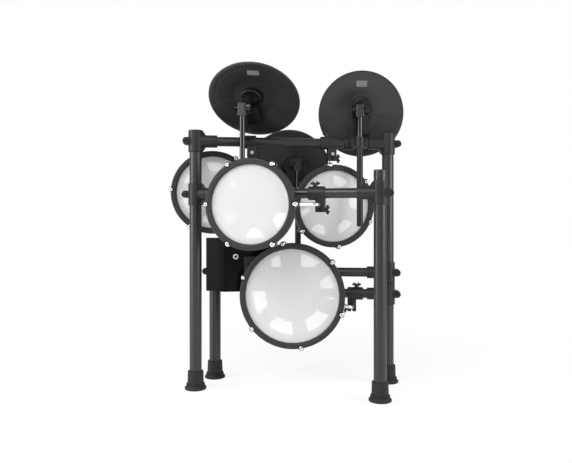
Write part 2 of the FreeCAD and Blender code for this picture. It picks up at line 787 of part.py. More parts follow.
def pad_shell(name, head, floor, rod_from_lug):
    """Tray under the head: rim, floor with windows between spokes, lug posts and a socket for the rod."""
    outside = head + " - shell_inset"
    inside = outside + " - shell_wall"
    top = "-head_film - bearing_drop"
    bowl = revolved(name + "_bowl", [
        (0, "-shell_depth"),
        (outside, "-shell_depth", "shell_round"),
        (outside, top),
        (inside, top),
        (inside, "shell_floor - shell_depth"),
        (0, "shell_floor - shell_depth"),
    ])
    ring = cut(name + "_window_ring",
               cylinder(name + "_window_outside", outside + " - window_edge", "shell_floor",
                        at(0, 0, "-shell_depth")),
               [cylinder(name + "_window_inside", floor, "shell_floor", at(0, 0, "-shell_depth"))])
    spokes = []
    for i in range(LUG_COUNT // 2):
        spin = Rotation(Vector(0, 0, 1), 360.0 / LUG_COUNT * i)
        spokes.append(box("%s_spoke_%d" % (name, i), "2 * (" + head + ")", "spoke_width", "shell_floor",
                          0, 0,
                          "-shell_depth", spin))
    windows = cut(name + "_windows", ring, spokes)
    tray = cut(name + "_tray", bowl, [windows])
    spin = Rotation(Vector(0, 0, 1), rod_from_lug)
    away = Placement(Vector(), spin)
    socket = cylinder(name + "_socket", "socket_radius", outside + " - shell_wall / 2 - socket_start",
                      away * at("socket_start", 0, "-rod_depth", ALONG_X))
    pieces = [tray, socket]
    holes = [cylinder(name + "_socket_hole", "rod_radius + fit_clearance", outside,
                      away * at("socket_start", 0, "-rod_depth", ALONG_X))]
    circle = head + " + hoop_overhang - lug_inset"
    for i in range(LUG_COUNT):
        turn = Placement(Vector(), Rotation(Vector(0, 0, 1), 360.0 / LUG_COUNT * i))
        post = turn * at(circle, 0, "-lug_post_bottom")
        pieces.append(cylinder("%s_post_%d" % (name, i), "lug_post_radius",
                               "lug_post_bottom - lug_post_top", post))
        run = "hoop_overhang - lug_inset + shell_inset + shell_wall / 2"
        web = box("%s_web_%d" % (name, i), run, "lug_post_radius", "lug_post_bottom - lug_post_top")
        web.Placement = turn * at(outside + " - shell_wall / 2", "-lug_post_radius / 2", "-lug_post_bottom")
        pieces.append(web)
        holes.append(cylinder("%s_post_hole_%d" % (name, i), "lug_screw_radius + fit_clearance",
                              "lug_post_bottom - lug_post_top", post))
    return cut(name, fuse(name + "_solid", pieces), holes)


def pad_sensor(name):
    """Trigger plate and the foam cone that nearly reaches the head."""
    seat = "shell_floor - shell_depth"
    return revolved(name, [
        (0, seat),
        ("sensor_plate_radius", seat),
        ("sensor_plate_radius", seat + " + sensor_plate_thickness"),
        ("sensor_foot_radius", seat + " + sensor_plate_thickness"),
        ("sensor_tip_radius", "-head_film - sensor_tip_gap"),
        (0, "-head_film - sensor_tip_gap"),
    ])


def pad_rod(name, reach, face):
    """L-rod in the pad's frame: long leg along +X, short leg along Z to the clamp's hole."""
    forward = number("rod_depth - " + face) > 0
    straight = cylinder(name + "_long", "rod_radius", reach + " - rod_bend - rod_inner_end",
                        at("rod_inner_end", 0, "-rod_depth", ALONG_X))
    bend = new_object("Part::Torus", name + "_bend", Radius1="rod_bend", Radius2="rod_radius")
    bend.Angle3 = 90
    middle = "-rod_depth + rod_bend" if forward else "-rod_depth - rod_bend"
    bend.Placement = at(reach + " - rod_bend", 0, middle, Rotation(Vector(1, 0, 0), -90 if forward else 90))
    depth = "rod_depth - " + face if forward else face + " - rod_depth"
    short = cylinder(name + "_short", "rod_radius",
                     depth + " - rod_bend + block_depth / 2 + rod_past_block",
                     at(reach, 0, middle, Rotation() if forward else DOWN))
    return fuse(name, [straight, bend, short])


PAD_FRAMES = {}
FACE_ON = Rotation(Vector(1, 0, 0), 90)
for pad_name, (bar_name, side) in PADS.items():
    head = "snare_head_radius" if pad_name == "snare" else "tom_head_radius"
    floor = "snare_floor_radius" if pad_name == "snare" else "tom_floor_radius"
    rod_x = number("rod_side") * side
    tilt = Rotation(Vector(1, 0, 0), number(pad_name + "_tilt"))
    collar = BARS[bar_name] * Placement(Vector(number(pad_name + "_along") - rod_x, 0, 0), tilt)
    node(pad_name + "_clamp", pad_clamp(pad_name + "_clamp", side, pad_name + "_screw_turn"), collar)
    # Pad frame: Z out of the playing face, X along the rod's long leg out to the hole
    hole = collar * Placement(Vector(rod_x, 0, -number("rod_drop")), Rotation())
    rod_turn = number(pad_name + "_rod_turn")
    reach = number(pad_name + "_reach")
    face = number(pad_name + "_face")
    swing = math.radians(rod_turn)
    centre = Vector(reach * math.cos(swing), -face, reach * math.sin(swing))
    rod_frame = hole * Placement(centre, FACE_ON * Rotation(Vector(0, 0, 1), rod_turn + 180))
    turn = Rotation(Vector(1, 0, 0), number(pad_name + "_turn"))
    pad_frame = rod_frame * at(0, 0, "-rod_depth", turn) * at(0, 0, "rod_depth")
    lug_angle = number(pad_name + "_lug_turn") - rod_turn - 180
    lug_frame = pad_frame * Placement(Vector(), Rotation(Vector(0, 0, 1), lug_angle))
    node(pad_name + "_rod", [pad_rod(pad_name + "_rod", pad_name + "_reach", pad_name + "_face")],
         rod_frame)
    node(pad_name + "_shell", [pad_shell(pad_name + "_shell", head, floor, -lug_angle)], lug_frame)
    node(pad_name + "_hoop", [pad_hoop(pad_name + "_hoop", head)], lug_frame)
    node(pad_name + "_head", [pad_head(pad_name + "_head", head)], lug_frame)
    node(pad_name + "_lug_screws", pad_screws(pad_name + "_lug_screw", head), lug_frame)
    node(pad_name + "_sensor", [pad_sensor(pad_name + "_sensor")], lug_frame)
    PAD_FRAMES[pad_name] = (hole, rod_frame, pad_frame)


# Cymbals

def arm_clamp(name, side, front, tube_start, tube_length):
    """Collar on the bar, sleeve beside it, the upright tube and its wing screw; origin on the tube's axis."""
    away = "arm_stand_off" if front > 0 else "-arm_stand_off"
    collar_x = "-arm_side" if side > 0 else "arm_side"
    collar = cylinder(name + "_collar", "collar_radius", "arm_collar_length",
                      at(collar_x + " - arm_collar_length / 2", away, 0, ALONG_X))
    soft = rounded(name + "_soft_collar", collar, "collar_round",
                   lambda edge: edge.Closed and edge.Length > 0)
    sleeve = cylinder(name + "_sleeve", "arm_sleeve_radius", "arm_sleeve_height",
                      at(0, 0, "-arm_sleeve_height / 2"))
    bridge = box(name + "_bridge", "arm_side", "arm_stand_off", "arm_sleeve_height - 2 * collar_round",
                 "-arm_side / 2" if side > 0 else "arm_side / 2",
                 "arm_stand_off / 2" if front > 0 else "-arm_stand_off / 2",
                 "collar_round - arm_sleeve_height / 2")
    solid = fuse(name + "_solid", [soft, sleeve, bridge])
    screw_turn = Rotation(Vector(0, 1, 0), 90 if side > 0 else -90)
    tools = [
        cylinder(name + "_bar_bore", "bar_radius + fit_clearance", "4 * arm_side",
                 at("-2 * arm_side", away, 0, ALONG_X)),
        cylinder(name + "_tube_bore", "tube_radius + fit_clearance", "arm_sleeve_height",
                 at(0, 0, "-arm_sleeve_height / 2")),
        cylinder(name + "_screw_hole", "wing_shank_radius + bolt_slack", "arm_sleeve_radius",
                 Placement(Vector(), screw_turn)),
    ]
    body = cut(name + "_body", solid, tools)
    tube = cut(name + "_tube", cylinder(name + "_tube_outside", "tube_radius", tube_length,
                                        at(0, 0, tube_start)),
               [cylinder(name + "_tube_bore_inside", "tube_bore_radius", tube_length,
                         at(0, 0, tube_start))])
    screw = wing_screw(name + "_screw", "arm_sleeve_radius - tube_radius - bolt_slack")
    screw.Placement = at("arm_sleeve_radius" if side > 0 else "-arm_sleeve_radius", 0, 0, screw_turn)
    return [body, tube, screw]


def cymbal_arm(name, length):
    """Rod with the fixed half of the tilter on top; origin at the pivot."""
    rod = cylinder(name + "_rod", "arm_radius", length, at(0, 0, "-(" + length + ")"))
    block = box(name + "_block", "tilter_width", "tilter_depth", "tilter_height", 0, 0,
                "pivot_below_top - tilter_height")
    soft = rounded(name + "_soft_block", block, "tilter_round", upright)
    solid = fuse(name + "_solid", [rod, soft])
    hole = cylinder(name + "_pivot_hole", "pivot_bolt_radius + fit_clearance", "2 * tilter_width",
                    at("-tilter_width", 0, 0, ALONG_X))
    return cut(name, solid, [hole])


def cymbal_hub(name, side, post_length):
    """Moving half of the tilter, post, cup and jack box; origin at the pivot, Z along the cymbal's axis."""
    knuckle_x = "tilter_width / 2 + knuckle_gap"
    post_x = "tilter_width / 2 + knuckle_gap + knuckle_width / 2"
    if side > 0:
        start = at(knuckle_x, 0, 0, ALONG_X)
        bolt_start = at("-tilter_width / 2 - knuckle_gap", 0, 0, ALONG_X)
    else:
        start = at("-(" + knuckle_x + ") - knuckle_width", 0, 0, ALONG_X)
        bolt_start = at("-(" + knuckle_x + ")", 0, 0, ALONG_X)
        post_x = "-(" + post_x + ")"
    knuckle = cylinder(name + "_knuckle", "knuckle_radius", "knuckle_width", start)
    bolt = cylinder(name + "_bolt", "pivot_bolt_radius", "tilter_width + 2 * knuckle_gap", bolt_start)
    post_end = post_length + " + cup_height + cymbal_thickness + bell_rise + top_nut_height"
    post = cylinder(name + "_post", "post_radius", post_end, at(post_x, 0, 0))
    cup = revolved(name + "_cup", [
        (0, 0),
        ("cup_radius", 0, "cup_round"),
        ("cup_radius", "cup_height", "cup_round"),
        (0, "cup_height"),
    ], at(post_x, 0, post_length))
    jack = padded(name + "_jack_box", [
        ("-jack_narrow / 2", 0),
        ("jack_narrow / 2", 0),
        ("jack_wide / 2", "jack_length", "jack_round"),
        ("-jack_wide / 2", "jack_length", "jack_round"),
    ], "jack_height", at(post_x, "jack_start", post_length + " + cup_height - jack_height - jack_sink"))
    pieces = [knuckle, bolt, post, cup, jack]
    tools = []
    for i in range(CUP_HOLE_COUNT):
        turn = Placement(Vector(), Rotation(Vector(0, 0, 1), 360.0 / CUP_HOLE_COUNT * (i + 0.5)))
        tools.append(cylinder("%s_cup_hole_%d" % (name, i), "cup_hole_radius", "cup_hole_depth",
                              at(post_x, 0, post_length) * turn * at("cup_hole_circle", 0, 0)))
    mouth = at(post_x, "jack_start + jack_length - jack_hole_depth",
               post_length + " + cup_height - jack_height / 2 - jack_sink", ALONG_Y)
    tools.append(cylinder(name + "_jack_hole", "jack_hole_radius", "jack_hole_depth", mouth))
    body = cut(name + "_body", fuse(name + "_solid", pieces), tools)
    nut = wing_screw(name + "_nut", "knuckle_gap")
    nut_x = "-tilter_width / 2 - knuckle_gap" if side > 0 else "tilter_width / 2 + knuckle_gap"
    nut.Placement = at(nut_x, 0, 0, Rotation(Vector(0, 1, 0), -90 if side > 0 else 90))
    return [body, nut]


def cymbal_disc(name, shift, drop):
    """Bowed disc with a bell; origin at the rim plane's centre, Z out of the played side."""
    under = "cymbal_bow"
    disc = revolved(name + "_disc", [
        (0, under),
        ("bell_foot_radius", under),
        ("cymbal_radius - cymbal_edge", 0),
        ("cymbal_radius", 0, "cymbal_thickness * cymbal_rim_share"),
        ("cymbal_radius", "cymbal_thickness", "cymbal_thickness * cymbal_rim_share"),
        ("cymbal_radius - cymbal_edge", "cymbal_thickness"),
        ("bell_foot_radius", "cymbal_bow + cymbal_thickness"),
        ("bell_radius", "cymbal_bow + cymbal_thickness + bell_rise", "bell_rise"),
        (0, "cymbal_bow + cymbal_thickness + bell_rise"),
    ])
    bore = cylinder(name + "_bore", "cymbal_bore", "2 * (cymbal_bow + cymbal_thickness + bell_rise)",
                    at("-" + shift, "-" + drop, 0))
    return cut(name, disc, [bore])


CYMBAL_FRAMES = {}
for cymbal_name, (bar_name, side, front, hub_side) in CYMBALS.items():
    bar = BARS[bar_name]
    axis = bar * at(cymbal_name + "_along", "-arm_stand_off" if front > 0 else "arm_stand_off", 0)
    tube_start = cymbal_name + "_tube_bottom - " + bar_name + "_bar_height"
    tube_length = cymbal_name + "_tube"
    clamp = arm_clamp(cymbal_name + "_arm_clamp", side, front, tube_start, tube_length)
    node(cymbal_name + "_arm_clamp", clamp, axis)
    yaw = Rotation(Vector(0, 0, 1), number(cymbal_name + "_yaw"))
    face_front = Placement(Vector(axis.Base.x, axis.Base.y, number(cymbal_name + "_pivot")), yaw)
    length = cymbal_name + "_pivot - " + cymbal_name + "_tube_bottom - " + tube_length + " + arm_insert"
    node(cymbal_name + "_arm", [cymbal_arm(cymbal_name + "_arm", length)], face_front)
    lean = Rotation(Vector(1, 0, 0), number(cymbal_name + "_lean") - 90)
    hub_frame = face_front * Placement(Vector(), lean)
    node(cymbal_name + "_hub", cymbal_hub(cymbal_name + "_hub", hub_side, cymbal_name + "_post"), hub_frame)
    post_x = number("tilter_width / 2 + knuckle_gap + knuckle_width / 2") * hub_side
    shift = number(cymbal_name + "_shift")
    seat = number(cymbal_name + "_post + cup_height - cymbal_bow")
    middle = Placement(Vector(post_x + shift, number(cymbal_name + "_drop"), seat), Rotation())
    disc = cymbal_disc(cymbal_name, cymbal_name + "_shift", cymbal_name + "_drop")
    node(cymbal_name, [disc], hub_frame * middle)
    CYMBAL_FRAMES[cymbal_name] = (face_front, hub_frame)


# Sound module: outline in X and Y raised along Z. Its front is two faces, a matte slanted end and the panel.

module_frame = left_leg * at("module_x", "module_back_y", "module_bottom")
case_solid = padded("module_case_solid", [
    (0, 0, "module_round"),
    (0, "-module_left_edge", "module_round"),
    ("module_slant", "-module_left_depth", "module_round"),
    ("module_length", "-module_right_depth", "module_round"),
    ("module_length", 0, "module_round"),
], "module_height")
panel_turn = math.degrees(math.atan2(number("module_left_depth - module_right_depth"),
                                     number("module_length - module_slant")))
panel_frame = at("module_slant", "-module_left_depth", 0, Rotation(Vector(0, 0, 1), panel_turn) * FACE_ON)
panel_row = len(SIZES) + 1
sheet.set("A%d" % panel_row, "panel_run")
sheet.set("B%d" % panel_row,
          "=sqrt((module_left_depth - module_right_depth) ^ 2 + (module_length - module_slant) ^ 2)")
sheet.setAlias("B%d" % panel_row, "panel_run")
ALIASES.add("panel_run")
doc.recompute()


def on_panel(name, along, up, width, tall, thick, sink):
    """Rounded slab standing on the panel's face, given the middle of its outline."""
    made = padded(name, [
        ("-(" + width + ") / 2", "-(" + tall + ") / 2", "panel_margin / 2"),
        ("(" + width + ") / 2", "-(" + tall + ") / 2", "panel_margin / 2"),
        ("(" + width + ") / 2", "(" + tall + ") / 2", "panel_margin / 2"),
        ("-(" + width + ") / 2", "(" + tall + ") / 2", "panel_margin / 2"),
    ], thick)
    made.Placement = panel_frame * at(along, up, sink)
    return made


panel_sizes = ("panel_run / 2", "module_height / 2", "panel_run - 2 * module_round - 2 * panel_margin",
               "module_height - 2 * panel_margin", "panel_thickness")
pocket = on_panel("module_panel_pocket", *panel_sizes, "panel_sink - panel_thickness")
cavity = padded("module_cavity", [
    ("module_slant", "-module_wall"),
    ("module_slant", "-module_left_depth + 3 * module_wall"),
    ("module_length - module_wall", "-module_right_depth + 3 * module_wall"),
    ("module_length - module_wall", "-module_wall"),
], "module_height - 2 * module_wall", at(0, 0, "module_wall"))
# The keypad's flange lies behind the panel, and the well leaves it room to go down
key_well = on_panel("module_key_well", "key_along", "key_up", "key_width + 2 * key_flange + 2 * key_gap",
                    "key_tall + 2 * key_flange + 2 * key_gap",
                    "key_flange_thickness + key_travel + panel_thickness",
                    "panel_sink - panel_thickness - key_flange_thickness - key_travel")
case_tools = [pocket, cavity, key_well]
for i in range(3):
    case_tools.append(cylinder("module_jack_%d" % i, "module_jack_radius", "module_jack_depth",
                               at("module_length - module_jack_depth + module_wall",
                                  "-module_right_depth / 2",
                                  "module_height / 2", ALONG_X) * at("module_jack_step * (%d)" % (i - 1),
                                                                     0, 0)))
node("module_case", [cut("module_case", case_solid, case_tools)], module_frame)
panel = on_panel("module_panel_slab", *panel_sizes, "panel_sink - panel_thickness + fit_clearance")
key_hole = on_panel("module_key_hole", "key_along", "key_up", "key_width + 2 * key_gap",
                    "key_tall + 2 * key_gap",
                    "2 * panel_thickness", "-panel_thickness")
spindle_hole = cylinder("module_spindle_hole", "dial_spindle + fit_clearance", "3 * panel_thickness",
                        panel_frame * at("dial_along", "dial_up", "-2 * panel_thickness"))
node("module_panel", [cut("module_panel", panel, [key_hole, spindle_hole])], module_frame)
dial_ring = cut("module_dial_ring", cylinder("module_dial_cap", "dial_radius", "dial_height"),
                [cylinder("module_dial_hollow", "dial_bore", "dial_height / 3",
                          at(0, 0, "dial_height * 2 / 3"))])
stem = cylinder("module_dial_stem", "dial_spindle", "panel_thickness", at(0, 0, "-panel_thickness"))
dial_frame = module_frame * panel_frame * at("dial_along", "dial_up", "panel_sink + 2 * key_gap")
node("module_dial", [fuse("module_dial", [dial_ring, stem])], dial_frame)
keys = [
    on_panel("module_key_flange", "key_along", "key_up", "key_width + 2 * key_flange",
             "key_tall + 2 * key_flange", "key_flange_thickness",
             "panel_sink - panel_thickness - key_flange_thickness"),
    on_panel("module_key_sheet", "key_along", "key_up", "key_width", "key_tall",
             "panel_thickness + fit_clearance", "panel_sink - panel_thickness"),
]
for column in range(COLUMNS_OF_KEYS):
    for key_row in range(ROWS_OF_KEYS):
        across = "key_along + key_width / %d * %s" % (COLUMNS_OF_KEYS, column - (COLUMNS_OF_KEYS - 1) / 2)
        up = "key_up + key_tall / %d * %s" % (ROWS_OF_KEYS, key_row - (ROWS_OF_KEYS - 1) / 2)
        keys.append(on_panel("module_key_%d_%d" % (column, key_row), across, up,
                             "key_width / %d * key_across_share" % COLUMNS_OF_KEYS,
                             "key_tall / %d * key_up_share" % ROWS_OF_KEYS, "key_height",
                             "panel_sink - fit_clearance"))
node("module_keypad", [fuse("module_keypad", keys)], module_frame)

# Bracket: collar round the rear bar, arm and plate against the module's back
bracket_point = (module_frame * at("bracket_along", 0, 0)).Base
offset = bracket_point - BARS["rear"].Base
bar_along = BARS["rear"].Rotation.multVec(Vector(1, 0, 0))
bar_x = (offset.x * bar_along.x + offset.y * bar_along.y)
bracket_frame = BARS["rear"] * Placement(Vector(bar_x, 0, 0), Rotation())
bracket_collar = cylinder("bracket_collar", "collar_radius", "bracket_width",
                          at("-bracket_width / 2", 0, 0, ALONG_X))
bracket_collar.Placement = bracket_frame * bracket_collar.Placement
bar_gap = (bracket_frame.Base - bracket_point).y
plate = box("bracket_plate_box", "bracket_plate_width", "bracket_plate", "bracket_plate_height", 0, 0, 0)
plate.Placement = Placement(Vector(bracket_point.x, bracket_point.y, number("rear_bar_height")),
                            Rotation()) * at(
    "-bracket_plate_width / 2", 0, "-bracket_plate_height / 2")
arm = box("bracket_arm", "bracket_width", str(bar_gap), "bracket_step", 0, 0, 0)
arm.Placement = Placement(Vector(bracket_point.x, bracket_point.y, number("rear_bar_height")),
                          Rotation()) * at(
    "-bracket_width / 2", 0, "-bracket_step / 2")
bracket_bore = cylinder("bracket_bore", "bar_radius + fit_clearance", "2 * bracket_width",
                        at("-bracket_width", 0, 0, ALONG_X))
bracket_bore.Placement = bracket_frame * bracket_bore.Placement
node("module_bracket", [cut("module_bracket_solid", fuse("module_bracket_fused",
                                                         [bracket_collar, plate, arm]), [bracket_bore])])

# Checks and export
doc.recompute()
os.makedirs("parts", exist_ok=True)
for item in doc.Objects:
    if "Invalid" in item.State or "Error" in item.State:
        raise RuntimeError("object in error: " + item.Name)
for made in NODES:
    if made.Shape.isNull() or not made.Shape.isValid() or not made.Shape.Solids:
        raise RuntimeError("bad shape: " + made.Label)
    made.Shape.exportStep(os.path.join("parts", made.Label + ".step"))
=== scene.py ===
import math

import bmesh
import bpy
import numpy as np
from bpy.props import FloatProperty, FloatVectorProperty, IntProperty, PointerProperty
from mathutils import Matrix, Vector


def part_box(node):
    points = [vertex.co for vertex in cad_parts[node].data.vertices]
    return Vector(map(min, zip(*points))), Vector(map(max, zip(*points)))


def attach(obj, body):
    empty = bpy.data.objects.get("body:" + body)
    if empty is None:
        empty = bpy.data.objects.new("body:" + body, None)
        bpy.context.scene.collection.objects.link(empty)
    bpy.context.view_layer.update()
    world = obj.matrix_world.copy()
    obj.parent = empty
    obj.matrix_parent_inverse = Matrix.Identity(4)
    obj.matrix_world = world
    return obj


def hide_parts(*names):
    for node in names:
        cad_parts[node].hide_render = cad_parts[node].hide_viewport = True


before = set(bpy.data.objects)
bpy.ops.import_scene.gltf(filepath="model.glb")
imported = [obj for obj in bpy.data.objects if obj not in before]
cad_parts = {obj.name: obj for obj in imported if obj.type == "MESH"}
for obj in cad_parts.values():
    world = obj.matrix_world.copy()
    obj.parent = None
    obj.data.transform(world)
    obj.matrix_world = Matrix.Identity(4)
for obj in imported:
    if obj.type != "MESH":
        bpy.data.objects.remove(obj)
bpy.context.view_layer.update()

bl_info = {
    "name": "Folded drum kit looks",
    "version": (1, 0, 0),
    "blender": (4, 2, 0),
    "location": "3D View > Sidebar > Drum kit",
    "description": "Looks of the folded electronic drum kit: heads, hoops, cymbals, module and studio",
    "category": "Object",
}

PADS = ("front_tom", "right_tom", "left_tom", "snare")
CYMBALS = ("left_cymbal", "right_cymbal", "rear_cymbal")
WHITE = (1, 1, 1, 1)
# Distance in metres under which points are one
WELD = 0.000001

# Pads: tension screws on each, the height of a screw's dome as a share of its head, and the mesh's edge
# ring as a share of its radius
LUGS = 6
SCREW_DOME_SHARE = 0.5
HEAD_EDGE_SHARE = 0.08
# Segments and rings of the pads' turned pieces
SCREW_STEPS = 32
SCREW_DOME_STEPS = 5
SENSOR_STEPS = 48
TRIGGER_EDGE_STEPS = 4
FOAM_RINGS = 12

# Cymbals: bell and hole as shares of the radius, a ring on the flat underside as a share of the bell,
# and the power of the bow's curve
BELL_SHARE = 0.45
HOLE_SHARE = 0.03
INNER_RING_SHARE = 0.7
BOW_POWER = 1.15
# Rings and grooves of the underside, the played side, the rim and the bell; the played side's grooves are
# a share as deep as the underside's
UNDER_RINGS = 16
UNDER_GROOVES = (13,)
OVER_RINGS = 39
OVER_GROOVE_STEP = 3
OVER_GROOVE_SHARE = 0.5
RIM_STEPS = 8
BELL_RINGS = 8
# Side ribs under a cymbal: cuts along them, ends as shares of the radius, drop along them in radians, and
# the drop that they start with as a share of it
RIB_CUTS = 14
RIB_START_SHARE = 0.30
RIB_END_SHARE = 0.97
RIB_DROP = 0.16
RIB_DROP_START_SHARE = 0.4
# Bare plate under a cymbal: its place as a share of the radius, its corners as a share of its height
PLATE_SHARE = 0.70
PLATE_CORNER_SHARE = 0.1
PLATE_CORNER_STEPS = 4
# Height in metres of the tilter block on top of a cymbal arm
TILTER_HEIGHT = 0.032

# Dial: bore as a share of its radius, the cap's sink as a share of its height and the gap round the cap
# as a share of its edge
DIAL_BORE_SHARE = 0.62
CAP_SINK_SHARE = 0.25
CAP_GAP_SHARE = 0.25
DIAL_STEPS = 64

# Finishes by name: roughness, metal, shine, and the scale and amount of bump and of uneven gloss
FINISHES = {
    "rack_paint": {"roughness": 0.36, "variation": (20, 0.02), "shine": 0.6},
    "clamp_plastic": {"roughness": 0.42, "bump": (700, 0.12), "variation": (40, 0.06)},
    "foot_rubber": {"roughness": 0.62, "bump": (800, 0.15)},
    "hoop_rubber": {"roughness": 0.46, "bump": (600, 0.12), "variation": (30, 0.06)},
    "pad_shell": {"roughness": 0.5, "bump": (500, 0.1)},
    "chrome": {"roughness": 0.09, "metallic": 1.0, "variation": (80, 0.03)},
    "sensor_foam": {"roughness": 0.9, "bump": (900, 0.6)},
    "cymbal_rubber": {"roughness": 0.36, "bump": (500, 0.06), "variation": (25, 0.05), "shine": 0.55},
    "hub_plastic": {"roughness": 0.30, "bump": (700, 0.08), "variation": (40, 0.06), "shine": 0.4},
    "bare_plate": {"roughness": 0.5, "bump": (800, 0.1), "variation": (60, 0.08)},
    "arm_painted_reflection_chrome": {"roughness": 0.07, "metallic": 1.0},
    "module_case": {"roughness": 0.5, "bump": (900, 0.15), "variation": (50, 0.06), "shine": 0.08},
    "module_panel": {"roughness": 0.08, "variation": (30, 0.03), "shine": 0.1},
    "module_keys": {"roughness": 0.55, "bump": (800, 0.1)},
    "dial_knob": {"roughness": 0.35},
    "dial_ring": {"roughness": 0.4},
}
# Shine of a finish that gives none, detail of bump and uneven gloss, and depth of the bump in metres
PLAIN_SHINE = 0.3
BUMP_DETAIL = 3.0
VARIATION_DETAIL = 4.0
BUMP_DEPTH = 0.0004
# Roughness of the tilter above an arm's chrome
TILTER_ROUGHNESS = 0.4
# Woven mesh: roughness, period of the wave bands at a scale of 1, strength and depth of the threads,
# share of light that passes through them, and how far they close the mesh from gap to thread
MESH_ROUGHNESS = 0.75
WAVE_PERIOD = 0.314
THREAD_STRENGTH = 0.25
THREAD_DEPTH = 0.0003
GLOW_SHARE = 0.35
THREAD_SHARES = (0.2, 0.9)
COVER_SHARES = (0.64, 0.86)

# Floor of the studio: sizes in metres, its least share of plain white, and its roughness
FLOOR_SIZE = 6.0
FLOOR_DROP = 0.0005
FLOOR_NEAR = 0.35
FLOOR_FAR = 1.1
FLOOR_WHITE_SHARE = 0.8
FLOOR_ROUGHNESS = 0.9
# Lights: place, point they turn to, width and height, in metres
KEY_LIGHT = ((-0.9, -1.9, 2.1), (0.0, 0.0, 0.45), 1.6, 1.6)
LEFT_STRIP = ((-1.7, -0.6, 0.9), (0.0, 0.0, 0.5), 0.8, 1.6)
RIGHT_STRIP = ((1.7, -0.8, 1.0), (0.0, 0.0, 0.5), 0.8, 1.6)
# Width of the camera's sensor in millimetres
SENSOR_WIDTH = 36


def colour(label, value, words):
    """Colour property with its words."""
    return FloatVectorProperty(name=label, description=words, default=value, subtype="COLOR", size=3,
                               min=0, max=1)


def length(label, value, words):
    """Length property in metres with its words."""
    return FloatProperty(name=label, description=words, default=value, unit="LENGTH", subtype="DISTANCE",
                         min=0)


def position(label, value, words):
    """Place in metres, which may be negative, with its words."""
    return FloatProperty(name=label, description=words, default=value, unit="LENGTH")


def power(label, value, words):
    """Power of a light in watts with its words."""
    return FloatProperty(name=label, description=words, default=value, unit="POWER", min=0)


class KitFinish(bpy.types.PropertyGroup):
    steel: colour("Rack paint", (0.006, 0.006, 0.007), "Satin black paint of the legs and bars")
    plastic: colour("Clamp plastic", (0.013, 0.013, 0.014), "Moulded clamps and tilters")
    foot: colour("Foot rubber", (0.011, 0.011, 0.012), "Rubber feet")
    hoop: colour("Hoop rubber", (0.019, 0.019, 0.020), "Rubber hoops round the heads")
    hub: colour("Hub plastic", (0.003, 0.003, 0.004), "Tilter hubs under the cymbals")
    cymbal: colour("Cymbal rubber", (0.009, 0.009, 0.010), "Rubber and plastic of the cymbals")
    plate: colour("Bare plate", (0.14, 0.14, 0.14), "Plain plate under each front cymbal")
    shell: colour("Pad shell", (0.13, 0.13, 0.13), "Tray under each mesh head, seen through it")
    foam: colour("Sensor foam", (0.08, 0.08, 0.08), "Foam cone under each head")
    mesh: colour("Mesh head", (0.92, 0.92, 0.93), "White woven head")
    chrome: colour("Chrome", (0.78, 0.78, 0.80), "Pad rods and tension screws")
    # Cymbal arm chrome painted dark: the dark colour is a painted reflection of dark surroundings, while
    # the same chrome stays bright on the pad rods
    arm: colour("Dark chrome", (0.07, 0.07, 0.072), "Rods of the cymbal arms")
    panel: colour("Module panel", (0.004, 0.004, 0.005), "Gloss panel of the sound module")
    case: colour("Module case", (0.003, 0.003, 0.004), "Matte case of the sound module")
    keys: colour("Module keys", (0.040, 0.040, 0.042), "Rubber keys of the sound module")
    ring: colour("Dial ring", (0.85, 0.85, 0.85), "Pale ring of the dial")
    floor: colour("Floor", (0.93, 0.93, 0.93), "Studio floor and backdrop")


class KitSizes(bpy.types.PropertyGroup):
    """Sizes of the modelled pieces."""
    weave: length("Weave", 0.0012, "Pitch of the mesh head's threads")
    head_rise: length("Head rise", 0.0004, "Height of the mesh above the film's place")
    cymbal_bow: length("Cymbal bow", 0.013, "Rise of the cymbal's bow over its rim")
    cymbal_thickness: length("Cymbal thickness", 0.004, "Thickness of the cymbal")
    rim_width: length("Rim width", 0.0051, "Width of the cymbal's level rim outside its bow")
    bell_rise: length("Bell rise", 0.009, "Rise of the bell over the bow")
    groove: length("Groove", 0.0006, "Depth of the rings on the cymbal")
    rib_width: length("Rib width", 0.0022, "Width of the cymbal's side ribs")
    rib_height: length("Rib height", 0.0012, "Height of the cymbal's side ribs")
    plate_width: length("Plate width", 0.030, "Width of the bare plate on a cymbal")
    plate_tall: length("Plate height", 0.017, "Height of the bare plate on a cymbal")
    plate_thick: length("Plate thickness", 0.0008, "Thickness of the bare plate on a cymbal")
    screw_shank: length("Screw shank", 0.0026, "Radius of a tension screw's shank")
    screw_flange: length("Screw flange", 0.0066, "Radius of a tension screw's flange")
    screw_flange_thick: length("Screw flange thickness", 0.0012, "Thickness of a tension screw's flange")
    screw_head: length("Screw head", 0.0052, "Radius of a tension screw's head")
    screw_head_tall: length("Screw head height", 0.0046, "Height of a tension screw's head")
    screw_socket: length("Screw socket", 0.0022, "Radius of the key hole in a tension screw")
    sensor_plate: length("Sensor plate", 0.002, "Thickness of the trigger plate under the foam")
    foam_tip: length("Foam tip", 0.005, "Radius of the foam cone under the head")
    foam_foot: length("Foam foot", 0.015, "Radius of the foam cone on its plate")
    foam_bulge: length("Foam bulge", 0.0012, "Swell of the foam cone's side")
    dial_edge: length("Dial edge", 0.0008, "Rounding of the dial")
    dial_radius: length("Dial radius", 0.007, "Radius of the dial")
    dial_tall: length("Dial height", 0.006, "Height of the dial")
    steps: IntProperty(name="Turning steps", description="Segments of turned pieces", default=128,
                       min=24, max=256)


